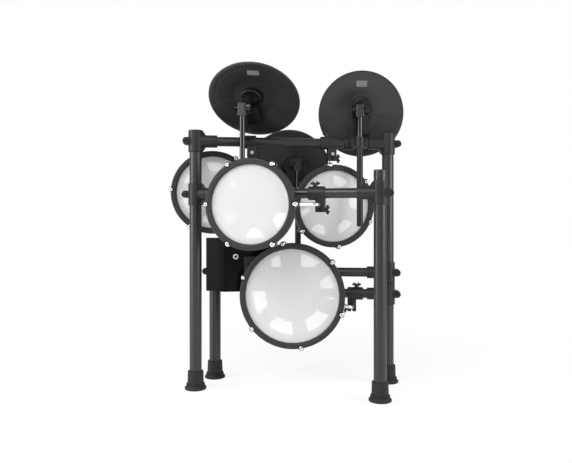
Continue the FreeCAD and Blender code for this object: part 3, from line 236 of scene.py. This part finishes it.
class KitStudio(bpy.types.PropertyGroup):
    """Camera and light."""
    camera_x: position("Camera across", -0.007, "Camera place across the kit")
    camera_y: position("Camera along", -1.599, "Camera place in front of the kit")
    camera_z: length("Camera height", 0.459, "Camera height over the floor")
    lens: FloatProperty(name="Lens", description="Focal length in millimetres", default=37.76,
                        min=10, max=200)
    rise: FloatProperty(name="Lens rise", description="Upward shift of the frame", default=-0.0288,
                        min=-1, max=1)
    key_power: power("Key power", 48.0, "Power of the large key light")
    side_power: power("Side power", 24.0, "Power of the side strip lights")
    sky: FloatProperty(name="Sky", description="Strength of the white surround as light", default=0.53,
                       min=0, max=5)


# Meshes

def new_piece(name, mesh_bm, material):
    """Object made from a bmesh, shaded smooth, with its material."""
    mesh_bm.normal_update()
    data = bpy.data.meshes.new(name)
    mesh_bm.to_mesh(data)
    mesh_bm.free()
    for polygon in data.polygons:
        polygon.use_smooth = True
    data.materials.append(material)
    piece = bpy.data.objects.new(name, data)
    bpy.context.scene.collection.objects.link(piece)
    return piece


def node_points(node):
    """Corners of a CAD node as an array in metres."""
    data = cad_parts[node].data
    found = np.empty(len(data.vertices) * 3)
    data.vertices.foreach_get("co", found)
    return found.reshape(-1, 3)


def round_frame(node):
    """Centre, in-plane axes, normal to the viewer, radius and front of a flat round node."""
    points = node_points(node)
    middle = points.mean(axis=0)
    axes = np.linalg.eigh(np.cov((points - middle).T))[1]
    normal = axes[:, 0]
    if normal[1] > 0:
        normal = -normal
    across = np.array([1.0, 0.0, 0.0])
    across = across - normal * across.dot(normal)
    across /= np.linalg.norm(across)
    up = np.cross(normal, across)
    spread = (points - middle) @ np.stack([across, up, normal], axis=1)
    low = spread.min(axis=0)
    high = spread.max(axis=0)
    centre = middle + across * (low[0] + high[0]) / 2 + up * (low[1] + high[1]) / 2
    radius = (high[0] - low[0] + high[1] - low[1]) / 4
    return {"centre": centre, "across": across, "up": up, "normal": normal, "radius": radius,
            "front": high[2]}


def carry(mesh_bm, place, offset):
    """Puts a bmesh drawn in local X, Y, Z on a round frame."""
    origin = place["centre"] + place["normal"] * offset
    for vert in mesh_bm.verts:
        flat = place["across"] * vert.co.x + place["up"] * vert.co.y
        vert.co = Vector(origin + flat + place["normal"] * vert.co.z)


def turned(outline, steps, ring=False):
    """Closed shape turned about Z from radii and heights: a ring, or a chain from axis to axis."""
    made = bmesh.new()
    verts = [made.verts.new((r, 0, h)) for r, h in outline]
    pairs = list(zip(verts, verts[1:]))
    if ring:
        pairs.append((verts[-1], verts[0]))
    edges = [made.edges.new(pair) for pair in pairs]
    bmesh.ops.spin(made, geom=verts + edges, cent=(0, 0, 0), axis=(0, 0, 1), dvec=(0, 0, 0),
                   angle=2 * math.pi, steps=steps, use_merge=True, use_duplicate=False)
    bmesh.ops.remove_doubles(made, verts=made.verts[:], dist=WELD)
    bmesh.ops.recalc_face_normals(made, faces=made.faces[:])
    return made


def arc(middle_r, middle_h, radius, start, end, count):
    """Radii and heights along an arc, with its angles in degrees from the outward direction."""
    points = []
    for i in range(count + 1):
        angle = math.radians(start + (end - start) * i / count)
        points.append((middle_r + radius * math.cos(angle), middle_h + radius * math.sin(angle)))
    return points


def joined(shapes):
    """One bmesh from several."""
    whole = bmesh.new()
    for shape in shapes:
        data = bpy.data.meshes.new("part")
        shape.to_mesh(data)
        shape.free()
        whole.from_mesh(data)
        bpy.data.meshes.remove(data)
    return whole


def reach_along(node, place):
    """Lowest and highest place of a node along a round frame's normal, and its widest radius."""
    away = node_points(node) - place["centre"]
    depth = away @ place["normal"]
    radius = np.hypot(away @ place["across"], away @ place["up"])
    return depth.min(), depth.max(), radius.max()


def lug_ring(node, place):
    """Radius and first angle of the ring of tension screws."""
    away = node_points(node) - place["centre"]
    x = away @ place["across"]
    y = away @ place["up"]
    phase = np.angle(np.exp(1j * LUGS * np.arctan2(y, x)).mean()) / LUGS
    return np.hypot(x, y).mean(), phase


# Materials

def new_material(name, base, roughness, metallic=0.0, bump=None, variation=None,
                 shine=PLAIN_SHINE):
    """Principled material; bump and variation are a scale and an amount, in object coordinates."""
    material = bpy.data.materials.new(name)
    material.use_nodes = True
    nodes = material.node_tree.nodes
    links = material.node_tree.links
    shader = nodes["Principled BSDF"]
    shader.inputs["Base Color"].default_value = (*base, 1)
    shader.inputs["Roughness"].default_value = roughness
    shader.inputs["Metallic"].default_value = metallic
    shader.inputs["Specular IOR Level"].default_value = shine
    spot = nodes.new("ShaderNodeTexCoord")
    if bump:
        scale, strength = bump
        grain = nodes.new("ShaderNodeTexNoise")
        grain.inputs["Scale"].default_value = scale
        grain.inputs["Detail"].default_value = BUMP_DETAIL
        links.new(spot.outputs["Object"], grain.inputs["Vector"])
        raised = nodes.new("ShaderNodeBump")
        raised.inputs["Strength"].default_value = strength
        raised.inputs["Distance"].default_value = BUMP_DEPTH
        links.new(grain.outputs["Fac"], raised.inputs["Height"])
        links.new(raised.outputs["Normal"], shader.inputs["Normal"])
    if variation:
        scale, spread = variation
        cloud = nodes.new("ShaderNodeTexNoise")
        cloud.inputs["Scale"].default_value = scale
        cloud.inputs["Detail"].default_value = VARIATION_DETAIL
        links.new(spot.outputs["Object"], cloud.inputs["Vector"])
        band = nodes.new("ShaderNodeMapRange")
        band.inputs["To Min"].default_value = roughness - spread
        band.inputs["To Max"].default_value = roughness + spread
        links.new(cloud.outputs["Fac"], band.inputs["Value"])
        links.new(band.outputs["Result"], shader.inputs["Roughness"])
    return material


def finished(name, base):
    """Material of a named finish."""
    return new_material(name, base, **FINISHES[name])


def mesh_material(name, base, pitch):
    """White woven mesh: threads from two wave bands on the UV map, light passing through."""
    material = bpy.data.materials.new(name)
    material.use_nodes = True
    nodes = material.node_tree.nodes
    links = material.node_tree.links
    shader = nodes["Principled BSDF"]
    shader.inputs["Base Color"].default_value = (*base, 1)
    shader.inputs["Roughness"].default_value = MESH_ROUGHNESS
    spot = nodes.new("ShaderNodeUVMap")
    bands = []
    for direction in ("X", "Y"):
        wave = nodes.new("ShaderNodeTexWave")
        wave.wave_type = "BANDS"
        wave.bands_direction = direction
        wave.inputs["Scale"].default_value = WAVE_PERIOD / pitch
        links.new(spot.outputs["UV"], wave.inputs["Vector"])
        bands.append(wave)
    thread = nodes.new("ShaderNodeMath")
    thread.operation = "MAXIMUM"
    links.new(bands[0].outputs["Fac"], thread.inputs[0])
    links.new(bands[1].outputs["Fac"], thread.inputs[1])
    raised = nodes.new("ShaderNodeBump")
    raised.inputs["Strength"].default_value = THREAD_STRENGTH
    raised.inputs["Distance"].default_value = THREAD_DEPTH
    links.new(thread.outputs[0], raised.inputs["Height"])
    links.new(raised.outputs["Normal"], shader.inputs["Normal"])
    through = nodes.new("ShaderNodeBsdfTranslucent")
    through.inputs["Color"].default_value = (*base, 1)
    glow = nodes.new("ShaderNodeMixShader")
    glow.inputs["Fac"].default_value = GLOW_SHARE
    links.new(shader.outputs[0], glow.inputs[1])
    links.new(through.outputs[0], glow.inputs[2])
    gap = nodes.new("ShaderNodeBsdfTransparent")
    cover = nodes.new("ShaderNodeMapRange")
    cover.inputs["From Min"].default_value = THREAD_SHARES[0]
    cover.inputs["From Max"].default_value = THREAD_SHARES[1]
    cover.inputs["To Min"].default_value = COVER_SHARES[0]
    cover.inputs["To Max"].default_value = COVER_SHARES[1]
    links.new(thread.outputs[0], cover.inputs["Value"])
    woven = nodes.new("ShaderNodeMixShader")
    links.new(cover.outputs["Result"], woven.inputs["Fac"])
    links.new(gap.outputs[0], woven.inputs[1])
    links.new(glow.outputs[0], woven.inputs[2])
    links.new(woven.outputs[0], nodes["Material Output"].inputs["Surface"])
    return material


def split_material(name, low_base, high_base, height):
    """Chrome below a height and plastic above it, by object coordinates."""
    material = new_material(name, low_base, **FINISHES["arm_painted_reflection_chrome"])
    nodes = material.node_tree.nodes
    links = material.node_tree.links
    lower = nodes["Principled BSDF"]
    upper = nodes.new("ShaderNodeBsdfPrincipled")
    upper.inputs["Base Color"].default_value = (*high_base, 1)
    upper.inputs["Roughness"].default_value = TILTER_ROUGHNESS
    spot = nodes["Texture Coordinate"]
    parts = nodes.new("ShaderNodeSeparateXYZ")
    links.new(spot.outputs["Object"], parts.inputs[0])
    above = nodes.new("ShaderNodeMath")
    above.operation = "GREATER_THAN"
    above.inputs[1].default_value = height
    links.new(parts.outputs["Z"], above.inputs[0])
    both = nodes.new("ShaderNodeMixShader")
    links.new(above.outputs[0], both.inputs["Fac"])
    links.new(lower.outputs[0], both.inputs[1])
    links.new(upper.outputs[0], both.inputs[2])
    links.new(both.outputs[0], nodes["Material Output"].inputs["Surface"])
    return material


def seen_rays(nodes, links):
    """Socket that is 1 for rays from the camera and for transmitted ones."""
    path = nodes.new("ShaderNodeLightPath")
    either = nodes.new("ShaderNodeMath")
    either.operation = "MAXIMUM"
    links.new(path.outputs["Is Camera Ray"], either.inputs[0])
    links.new(path.outputs["Is Transmission Ray"], either.inputs[1])
    return either.outputs[0]


def finish_nodes(names, material):
    """Gives CAD nodes left showing their procedural material."""
    for name in names:
        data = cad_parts[name].data
        data.materials.clear()
        data.materials.append(material)


# Operators

class KIT_OT_rack(bpy.types.Operator):
    """Finish the rack's tubes, clamps and feet"""
    bl_idname = "kit.rack"
    bl_label = "Finish rack"

    def execute(self, context):
        look = context.scene.kit_finish
        steel = finished("rack_paint", look.steel)
        plastic = finished("clamp_plastic", look.plastic)
        foot = finished("foot_rubber", look.foot)
        tubes = []
        clamps = []
        feet = []
        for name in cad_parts:
            if name.endswith("_foot") or name == "main_feet":
                feet.append(name)
            elif name.endswith(("_leg", "_bar")) or name == "top_crossbar":
                tubes.append(name)
            elif name.endswith(("_clamp", "_clamps")) or name == "module_bracket":
                clamps.append(name)
        finish_nodes(tubes, steel)
        finish_nodes(clamps, plastic)
        finish_nodes(feet, foot)
        return {"FINISHED"}


class KIT_OT_pads(bpy.types.Operator):
    """Model the mesh heads, tension screws and sensors, and finish hoops, shells and rods"""
    bl_idname = "kit.pads"
    bl_label = "Build pads"

    def execute(self, context):
        look = context.scene.kit_finish
        sizes = context.scene.kit_sizes
        mesh = mesh_material("woven_mesh", look.mesh, sizes.weave)
        hoop = finished("hoop_rubber", look.hoop)
        shell = finished("pad_shell", look.shell)
        chrome = finished("chrome", look.chrome)
        foam = finished("sensor_foam", look.foam)
        for pad in PADS:
            place = round_frame(pad + "_head")
            self.head(pad, place, sizes, mesh)
            self.screws(pad, place, sizes, chrome)
            self.sensor(pad, place, sizes, foam, shell)
            finish_nodes([pad + "_hoop"], hoop)
            finish_nodes([pad + "_shell"], shell)
            finish_nodes([pad + "_rod"], chrome)
        return {"FINISHED"}

    def head(self, pad, place, sizes, mesh):
        """Stretched disc of mesh with its weave on a flat map."""
        made = bmesh.new()
        bmesh.ops.create_circle(made, cap_ends=True, cap_tris=False, segments=sizes.steps,
                                radius=place["radius"])
        bmesh.ops.inset_region(made, faces=made.faces[:], thickness=place["radius"] * HEAD_EDGE_SHARE,
                               depth=0)
        layer = made.loops.layers.uv.new("weave")
        for face in made.faces:
            if face.normal.z < 0:
                face.normal_flip()
            for loop in face.loops:
                loop[layer].uv = (loop.vert.co.x, loop.vert.co.y)
        carry(made, place, place["front"] + sizes.head_rise)
        head = new_piece(pad + "_mesh_head", made, mesh)
        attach(head, pad + "_pad")
        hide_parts(pad + "_head")

    def screws(self, pad, place, sizes, chrome):
        """Flanged tension screws with domed heads and key holes, one set per pad."""
        low, high = reach_along(pad + "_lug_screws", place)[:2]
        ring, phase = lug_ring(pad + "_lug_screws", place)
        shoulder = high - sizes.screw_head_tall
        seat = shoulder - sizes.screw_flange_thick
        dome = sizes.screw_head_tall * SCREW_DOME_SHARE
        outline = [(0, low), (sizes.screw_shank, low), (sizes.screw_shank, seat)]
        outline += [(sizes.screw_flange, seat), (sizes.screw_flange, shoulder)]
        outline += [(sizes.screw_head, shoulder)]
        outline += arc(sizes.screw_head - dome, high - dome, dome, 0, 90, SCREW_DOME_STEPS)
        outline += [(sizes.screw_socket, high), (sizes.screw_socket, shoulder), (0, shoulder)]
        shapes = []
        for i in range(LUGS):
            screw = turned(outline, SCREW_STEPS)
            angle = phase + 2 * math.pi * i / LUGS
            spot = (ring * math.cos(angle), ring * math.sin(angle), 0)
            bmesh.ops.translate(screw, verts=screw.verts[:], vec=spot)
            shapes.append(screw)
        made = joined(shapes)
        carry(made, place, 0)
        screws = new_piece(pad + "_tension_screws", made, chrome)
        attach(screws, pad + "_pad")
        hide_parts(pad + "_lug_screws")

    def sensor(self, pad, place, sizes, foam, shell):
        """Swelling foam cone on its trigger plate, behind the head."""
        low, high, wide = reach_along(pad + "_sensor", place)
        seat = low + sizes.sensor_plate
        edge = sizes.sensor_plate / 2
        rim = arc(wide - edge, low + edge, edge, 0, 90, TRIGGER_EDGE_STEPS)
        plate = turned([(0, low), (wide, low)] + rim + [(0, seat)], SENSOR_STEPS)
        carry(plate, place, 0)
        side = []
        for i in range(FOAM_RINGS + 1):
            share = i / FOAM_RINGS
            r = sizes.foam_foot + (sizes.foam_tip - sizes.foam_foot) * share
            side.append((r + sizes.foam_bulge * math.sin(math.pi * share), seat + (high - seat) * share))
        cone = turned([(0, seat)] + side + [(0, high)], SENSOR_STEPS)
        carry(cone, place, 0)
        pieces = [new_piece(pad + "_foam_cone", cone, foam),
                  new_piece(pad + "_trigger_plate", plate, shell)]
        for piece, slot in zip(pieces, ("sensor_foam", "pad_shell")):
            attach(piece, pad + "_pad")
        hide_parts(pad + "_sensor")


class KIT_OT_cymbals(bpy.types.Operator):
    """Model the cymbals and finish their arms and hubs"""
    bl_idname = "kit.cymbals"
    bl_label = "Build cymbals"

    def execute(self, context):
        look = context.scene.kit_finish
        sizes = context.scene.kit_sizes
        rubber = finished("cymbal_rubber", look.cymbal)
        hub = finished("hub_plastic", look.hub)
        bare = finished("bare_plate", look.plate)
        for name in CYMBALS:
            place = round_frame(name)
            self.disc(name, place, sizes, rubber)
            if name != "rear_cymbal":
                self.plate(name, place, sizes, bare)
            finish_nodes([name + "_hub"], hub)
            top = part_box(name + "_arm")[1][2] - TILTER_HEIGHT
            # The arms' chrome takes the dark colour that stands in for reflected dark surroundings, a
            # painted reflection
            arm = split_material(name + "_arm_painted_reflection_chrome", look.arm, look.plastic, top)
            finish_nodes([name + "_arm"], arm)
        return {"FINISHED"}

    def disc(self, name, place, sizes, rubber):
        """Turned cymbal with a rib on each side of its hub."""
        radius = place["radius"]
        # Local Z runs to the viewer, so the played side is -Z from the rim plane
        outline = [(r, -h) for r, h in self.outline(radius, sizes)]
        ribs = [self.rib(side, radius, sizes) for side in (-1, 1)]
        made = joined([turned(outline, sizes.steps, ring=True)] + ribs)
        carry(made, place, place["front"])
        disc = new_piece(name + "_disc", made, rubber)
        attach(disc, name + "_top")
        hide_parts(name)

    def under(self, r, radius, sizes):
        """Height of the underside over the rim plane at a radius."""
        flat = radius * BELL_SHARE
        edge = radius - sizes.rim_width
        share = min(1, max(0, (r - flat) / (edge - flat)))
        return sizes.cymbal_bow * (1 - share) ** BOW_POWER

    def outline(self, radius, sizes):
        """Underside from the middle out, the rounded rim, then the played side back in."""
        flat = radius * BELL_SHARE
        hole = radius * HOLE_SHARE
        edge = radius - sizes.rim_width
        half = sizes.cymbal_thickness / 2
        below = [(hole, sizes.cymbal_bow), (flat * INNER_RING_SHARE, sizes.cymbal_bow)]
        for i in range(UNDER_RINGS + 1):
            r = flat + (edge - flat) * i / UNDER_RINGS
            sink = sizes.groove if i in UNDER_GROOVES else 0
            below.append((r, self.under(r, radius, sizes) + sink))
        rim = arc(radius - half, half, half, -90, 90, RIM_STEPS)
        over = []
        for i in range(OVER_RINGS + 1):
            r = edge + (flat - edge) * i / OVER_RINGS
            sink = sizes.groove * OVER_GROOVE_SHARE if i % OVER_GROOVE_STEP == 1 else 0
            over.append((r, self.under(r, radius, sizes) + sizes.cymbal_thickness - sink))
        top = sizes.cymbal_bow + sizes.cymbal_thickness
        bell = []
        for i in range(1, BELL_RINGS + 1):
            share = i / BELL_RINGS
            rise = sizes.bell_rise * math.sin(share * math.pi / 2)
            bell.append((flat + (hole - flat) * share, top + rise))
        return below + rim + over + bell

    def rib(self, side, radius, sizes):
        """Low rib on the underside, curving from beside the hub down to the rim."""
        made = bmesh.new()
        bmesh.ops.create_cube(made, size=1)
        bmesh.ops.scale(made, verts=made.verts[:], vec=(1, sizes.rib_width, sizes.rib_height))
        along = [edge for edge in made.edges if abs(edge.verts[0].co.x - edge.verts[1].co.x) > WELD]
        bmesh.ops.subdivide_edges(made, edges=along, cuts=RIB_CUTS, use_grid_fill=True)
        for vert in made.verts:
            share = vert.co.x + 0.5
            r = radius * (RIB_START_SHARE + (RIB_END_SHARE - RIB_START_SHARE) * share)
            angle = -RIB_DROP * (RIB_DROP_START_SHARE + share)
            height = self.under(r, radius, sizes)
            vert.co = (side * r * math.cos(angle), r * math.sin(angle) + vert.co.y, vert.co.z - height)
        bmesh.ops.recalc_face_normals(made, faces=made.faces[:])
        return made

    def plate(self, name, place, sizes, bare):
        """Thin bare plate with rounded corners on the upper underside."""
        radius = place["radius"]
        made = bmesh.new()
        bmesh.ops.create_cube(made, size=1)
        bmesh.ops.scale(made, verts=made.verts[:],
                        vec=(sizes.plate_width, sizes.plate_tall, sizes.plate_thick))
        corners = [edge for edge in made.edges if abs(edge.verts[0].co.z - edge.verts[1].co.z) > WELD]
        bmesh.ops.bevel(made, geom=corners, offset=sizes.plate_tall * PLATE_CORNER_SHARE,
                        offset_type="OFFSET", affect="EDGES", segments=PLATE_CORNER_STEPS, profile=0.5,
                        material=-1)
        spot = radius * PLATE_SHARE
        half = sizes.plate_tall / 2
        low = self.under(spot - half, radius, sizes)
        high = self.under(spot + half, radius, sizes)
        slope = math.atan2(low - high, sizes.plate_tall)
        tilt = Matrix.Rotation(slope, 3, "X")
        bmesh.ops.rotate(made, verts=made.verts[:], cent=(0, 0, 0), matrix=tilt)
        bmesh.ops.translate(made, verts=made.verts[:], vec=(0, spot, -(low + high) / 2))
        carry(made, place, place["front"])
        plate = new_piece(name + "_bare_plate", made, bare)
        for polygon in plate.data.polygons:
            polygon.use_smooth = False
        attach(plate, name + "_top")


class KIT_OT_module(bpy.types.Operator):
    """Model the dial and finish the sound module"""
    bl_idname = "kit.module"
    bl_label = "Build module"

    def execute(self, context):
        look = context.scene.kit_finish
        sizes = context.scene.kit_sizes
        case = finished("module_case", look.case)
        panel = finished("module_panel", look.panel)
        keys = finished("module_keys", look.keys)
        finish_nodes(["module_case"], case)
        finish_nodes(["module_panel"], panel)
        finish_nodes(["module_keypad"], keys)
        knob = finished("dial_knob", look.case)
        ring = finished("dial_ring", look.ring)
        self.dial(sizes, knob, ring)
        return {"FINISHED"}

    def dial(self, sizes, knob, ring):
        """Pale ring with a dark cap sunk in its bore."""
        place = round_frame("module_dial")
        edge = sizes.dial_edge
        outer = sizes.dial_radius
        inner = outer * DIAL_BORE_SHARE
        depth = sizes.dial_tall
        outline = [(outer - edge, 0), (outer, -edge), (outer, -depth)]
        outline += [(inner, -depth), (inner, -edge), (inner + edge, 0)]
        made = turned(outline, DIAL_STEPS, ring=True)
        carry(made, place, place["front"])
        dial = new_piece("dial_ring", made, ring)
        sunk = depth * CAP_SINK_SHARE
        gap = edge * CAP_GAP_SHARE
        cap_outline = [(0, -sunk), (inner - edge, -sunk), (inner - gap, -sunk - edge)]
        cap_outline += [(inner - gap, -depth), (0, -depth)]
        cap = turned(cap_outline, DIAL_STEPS)
        carry(cap, place, place["front"])
        button = new_piece("dial_cap", cap, knob)
        for piece in (dial, button):
            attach(piece, "dial")
        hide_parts("module_dial")


class KIT_OT_stage(bpy.types.Operator):
    """Set the floor, lights and camera"""
    bl_idname = "kit.stage"
    bl_label = "Set stage"

    def execute(self, context):
        look = context.scene.kit_finish
        studio = context.scene.kit_studio
        scene = context.scene
        self.floor(look)
        self.surround(scene, studio)
        self.light("key_light", *KEY_LIGHT, studio.key_power)
        self.light("left_strip", *LEFT_STRIP, studio.side_power)
        self.light("right_strip", *RIGHT_STRIP, studio.side_power)
        self.camera(scene, studio)
        scene.view_settings.view_transform = "Standard"
        scene.view_settings.look = "None"
        return {"FINISHED"}

    def camera(self, scene, studio):
        data = bpy.data.cameras.new("camera")
        data.sensor_width = SENSOR_WIDTH
        data.sensor_fit = "HORIZONTAL"
        data.lens = studio.lens
        data.shift_y = studio.rise
        camera = bpy.data.objects.new("camera", data)
        camera.location = (studio.camera_x, studio.camera_y, studio.camera_z)
        camera.rotation_euler = (math.radians(90), 0, 0)
        scene.collection.objects.link(camera)
        scene.camera = camera

    def floor(self, look):
        """Large pale floor: it holds the soft shadow close by and is plain white further out."""
        made = bmesh.new()
        bmesh.ops.create_grid(made, x_segments=1, y_segments=1, size=FLOOR_SIZE)
        bmesh.ops.translate(made, verts=made.verts[:], vec=(0, 0, -FLOOR_DROP))
        material = bpy.data.materials.new("studio_floor")
        material.use_nodes = True
        nodes = material.node_tree.nodes
        links = material.node_tree.links
        base = nodes["Principled BSDF"]
        base.inputs["Base Color"].default_value = (*look.floor, 1)
        base.inputs["Roughness"].default_value = FLOOR_ROUGHNESS
        white = nodes.new("ShaderNodeEmission")
        white.inputs["Color"].default_value = WHITE
        white.inputs["Strength"].default_value = 1.0
        spot = nodes.new("ShaderNodeTexCoord")
        away = nodes.new("ShaderNodeVectorMath")
        away.operation = "LENGTH"
        links.new(spot.outputs["Object"], away.inputs[0])
        share = nodes.new("ShaderNodeMapRange")
        share.interpolation_type = "SMOOTHSTEP"
        share.inputs["From Min"].default_value = FLOOR_NEAR
        share.inputs["From Max"].default_value = FLOOR_FAR
        share.inputs["To Min"].default_value = FLOOR_WHITE_SHARE
        share.inputs["To Max"].default_value = 1.0
        links.new(away.outputs["Value"], share.inputs["Value"])
        seen = nodes.new("ShaderNodeMath")
        seen.operation = "MULTIPLY"
        links.new(share.outputs["Result"], seen.inputs[0])
        links.new(seen_rays(nodes, links), seen.inputs[1])
        both = nodes.new("ShaderNodeMixShader")
        links.new(seen.outputs[0], both.inputs["Fac"])
        links.new(base.outputs[0], both.inputs[1])
        links.new(white.outputs[0], both.inputs[2])
        links.new(both.outputs[0], nodes["Material Output"].inputs["Surface"])
        floor = new_piece("floor", made, material)

    def surround(self, scene, studio):
        """White to the camera, softer as light."""
        world = bpy.data.worlds.new("surround")
        scene.world = world
        world.use_nodes = True
        nodes = world.node_tree.nodes
        links = world.node_tree.links
        light = nodes["Background"]
        light.inputs["Color"].default_value = WHITE
        light.inputs["Strength"].default_value = studio.sky
        seen = nodes.new("ShaderNodeBackground")
        seen.inputs["Color"].default_value = WHITE
        seen.inputs["Strength"].default_value = 1.0
        both = nodes.new("ShaderNodeMixShader")
        links.new(seen_rays(nodes, links), both.inputs["Fac"])
        links.new(light.outputs[0], both.inputs[1])
        links.new(seen.outputs[0], both.inputs[2])
        links.new(both.outputs[0], nodes["World Output"].inputs["Surface"])

    def light(self, name, place, target, wide, tall, watts):
        """Soft rectangular light turned to a point."""
        data = bpy.data.lights.new(name, "AREA")
        data.shape = "RECTANGLE"
        data.size = wide
        data.size_y = tall
        data.energy = watts
        lamp = bpy.data.objects.new(name, data)
        lamp.location = place
        lamp.rotation_euler = (Vector(target) - Vector(place)).to_track_quat("-Z", "Y").to_euler()
        bpy.context.scene.collection.objects.link(lamp)


class KIT_PT_panel(bpy.types.Panel):
    bl_idname = "KIT_PT_panel"
    bl_label = "Drum kit"
    bl_space_type = "VIEW_3D"
    bl_region_type = "UI"
    bl_category = "Drum kit"

    def draw(self, context):
        for group in (context.scene.kit_finish, context.scene.kit_sizes, context.scene.kit_studio):
            for name in group.__annotations__:
                self.layout.prop(group, name)
        for operator in OPERATORS:
            self.layout.operator(operator.bl_idname)


GROUPS = {"kit_finish": KitFinish, "kit_sizes": KitSizes, "kit_studio": KitStudio}
OPERATORS = (KIT_OT_rack, KIT_OT_pads, KIT_OT_cymbals, KIT_OT_module, KIT_OT_stage)


def register():
    for group in GROUPS.values():
        bpy.utils.register_class(group)
    for operator in OPERATORS:
        bpy.utils.register_class(operator)
    bpy.utils.register_class(KIT_PT_panel)
    for name, group in GROUPS.items():
        setattr(bpy.types.Scene, name, PointerProperty(type=group))


def unregister():
    for name in GROUPS:
        delattr(bpy.types.Scene, name)
    bpy.utils.unregister_class(KIT_PT_panel)
    for operator in reversed(OPERATORS):
        bpy.utils.unregister_class(operator)
    for group in reversed(list(GROUPS.values())):
        bpy.utils.unregister_class(group)


def main():
    register()
    bpy.ops.kit.rack()
    bpy.ops.kit.pads()
    bpy.ops.kit.cymbals()
    bpy.ops.kit.module()
    bpy.ops.kit.stage()


if __name__ == "__main__":
    main()
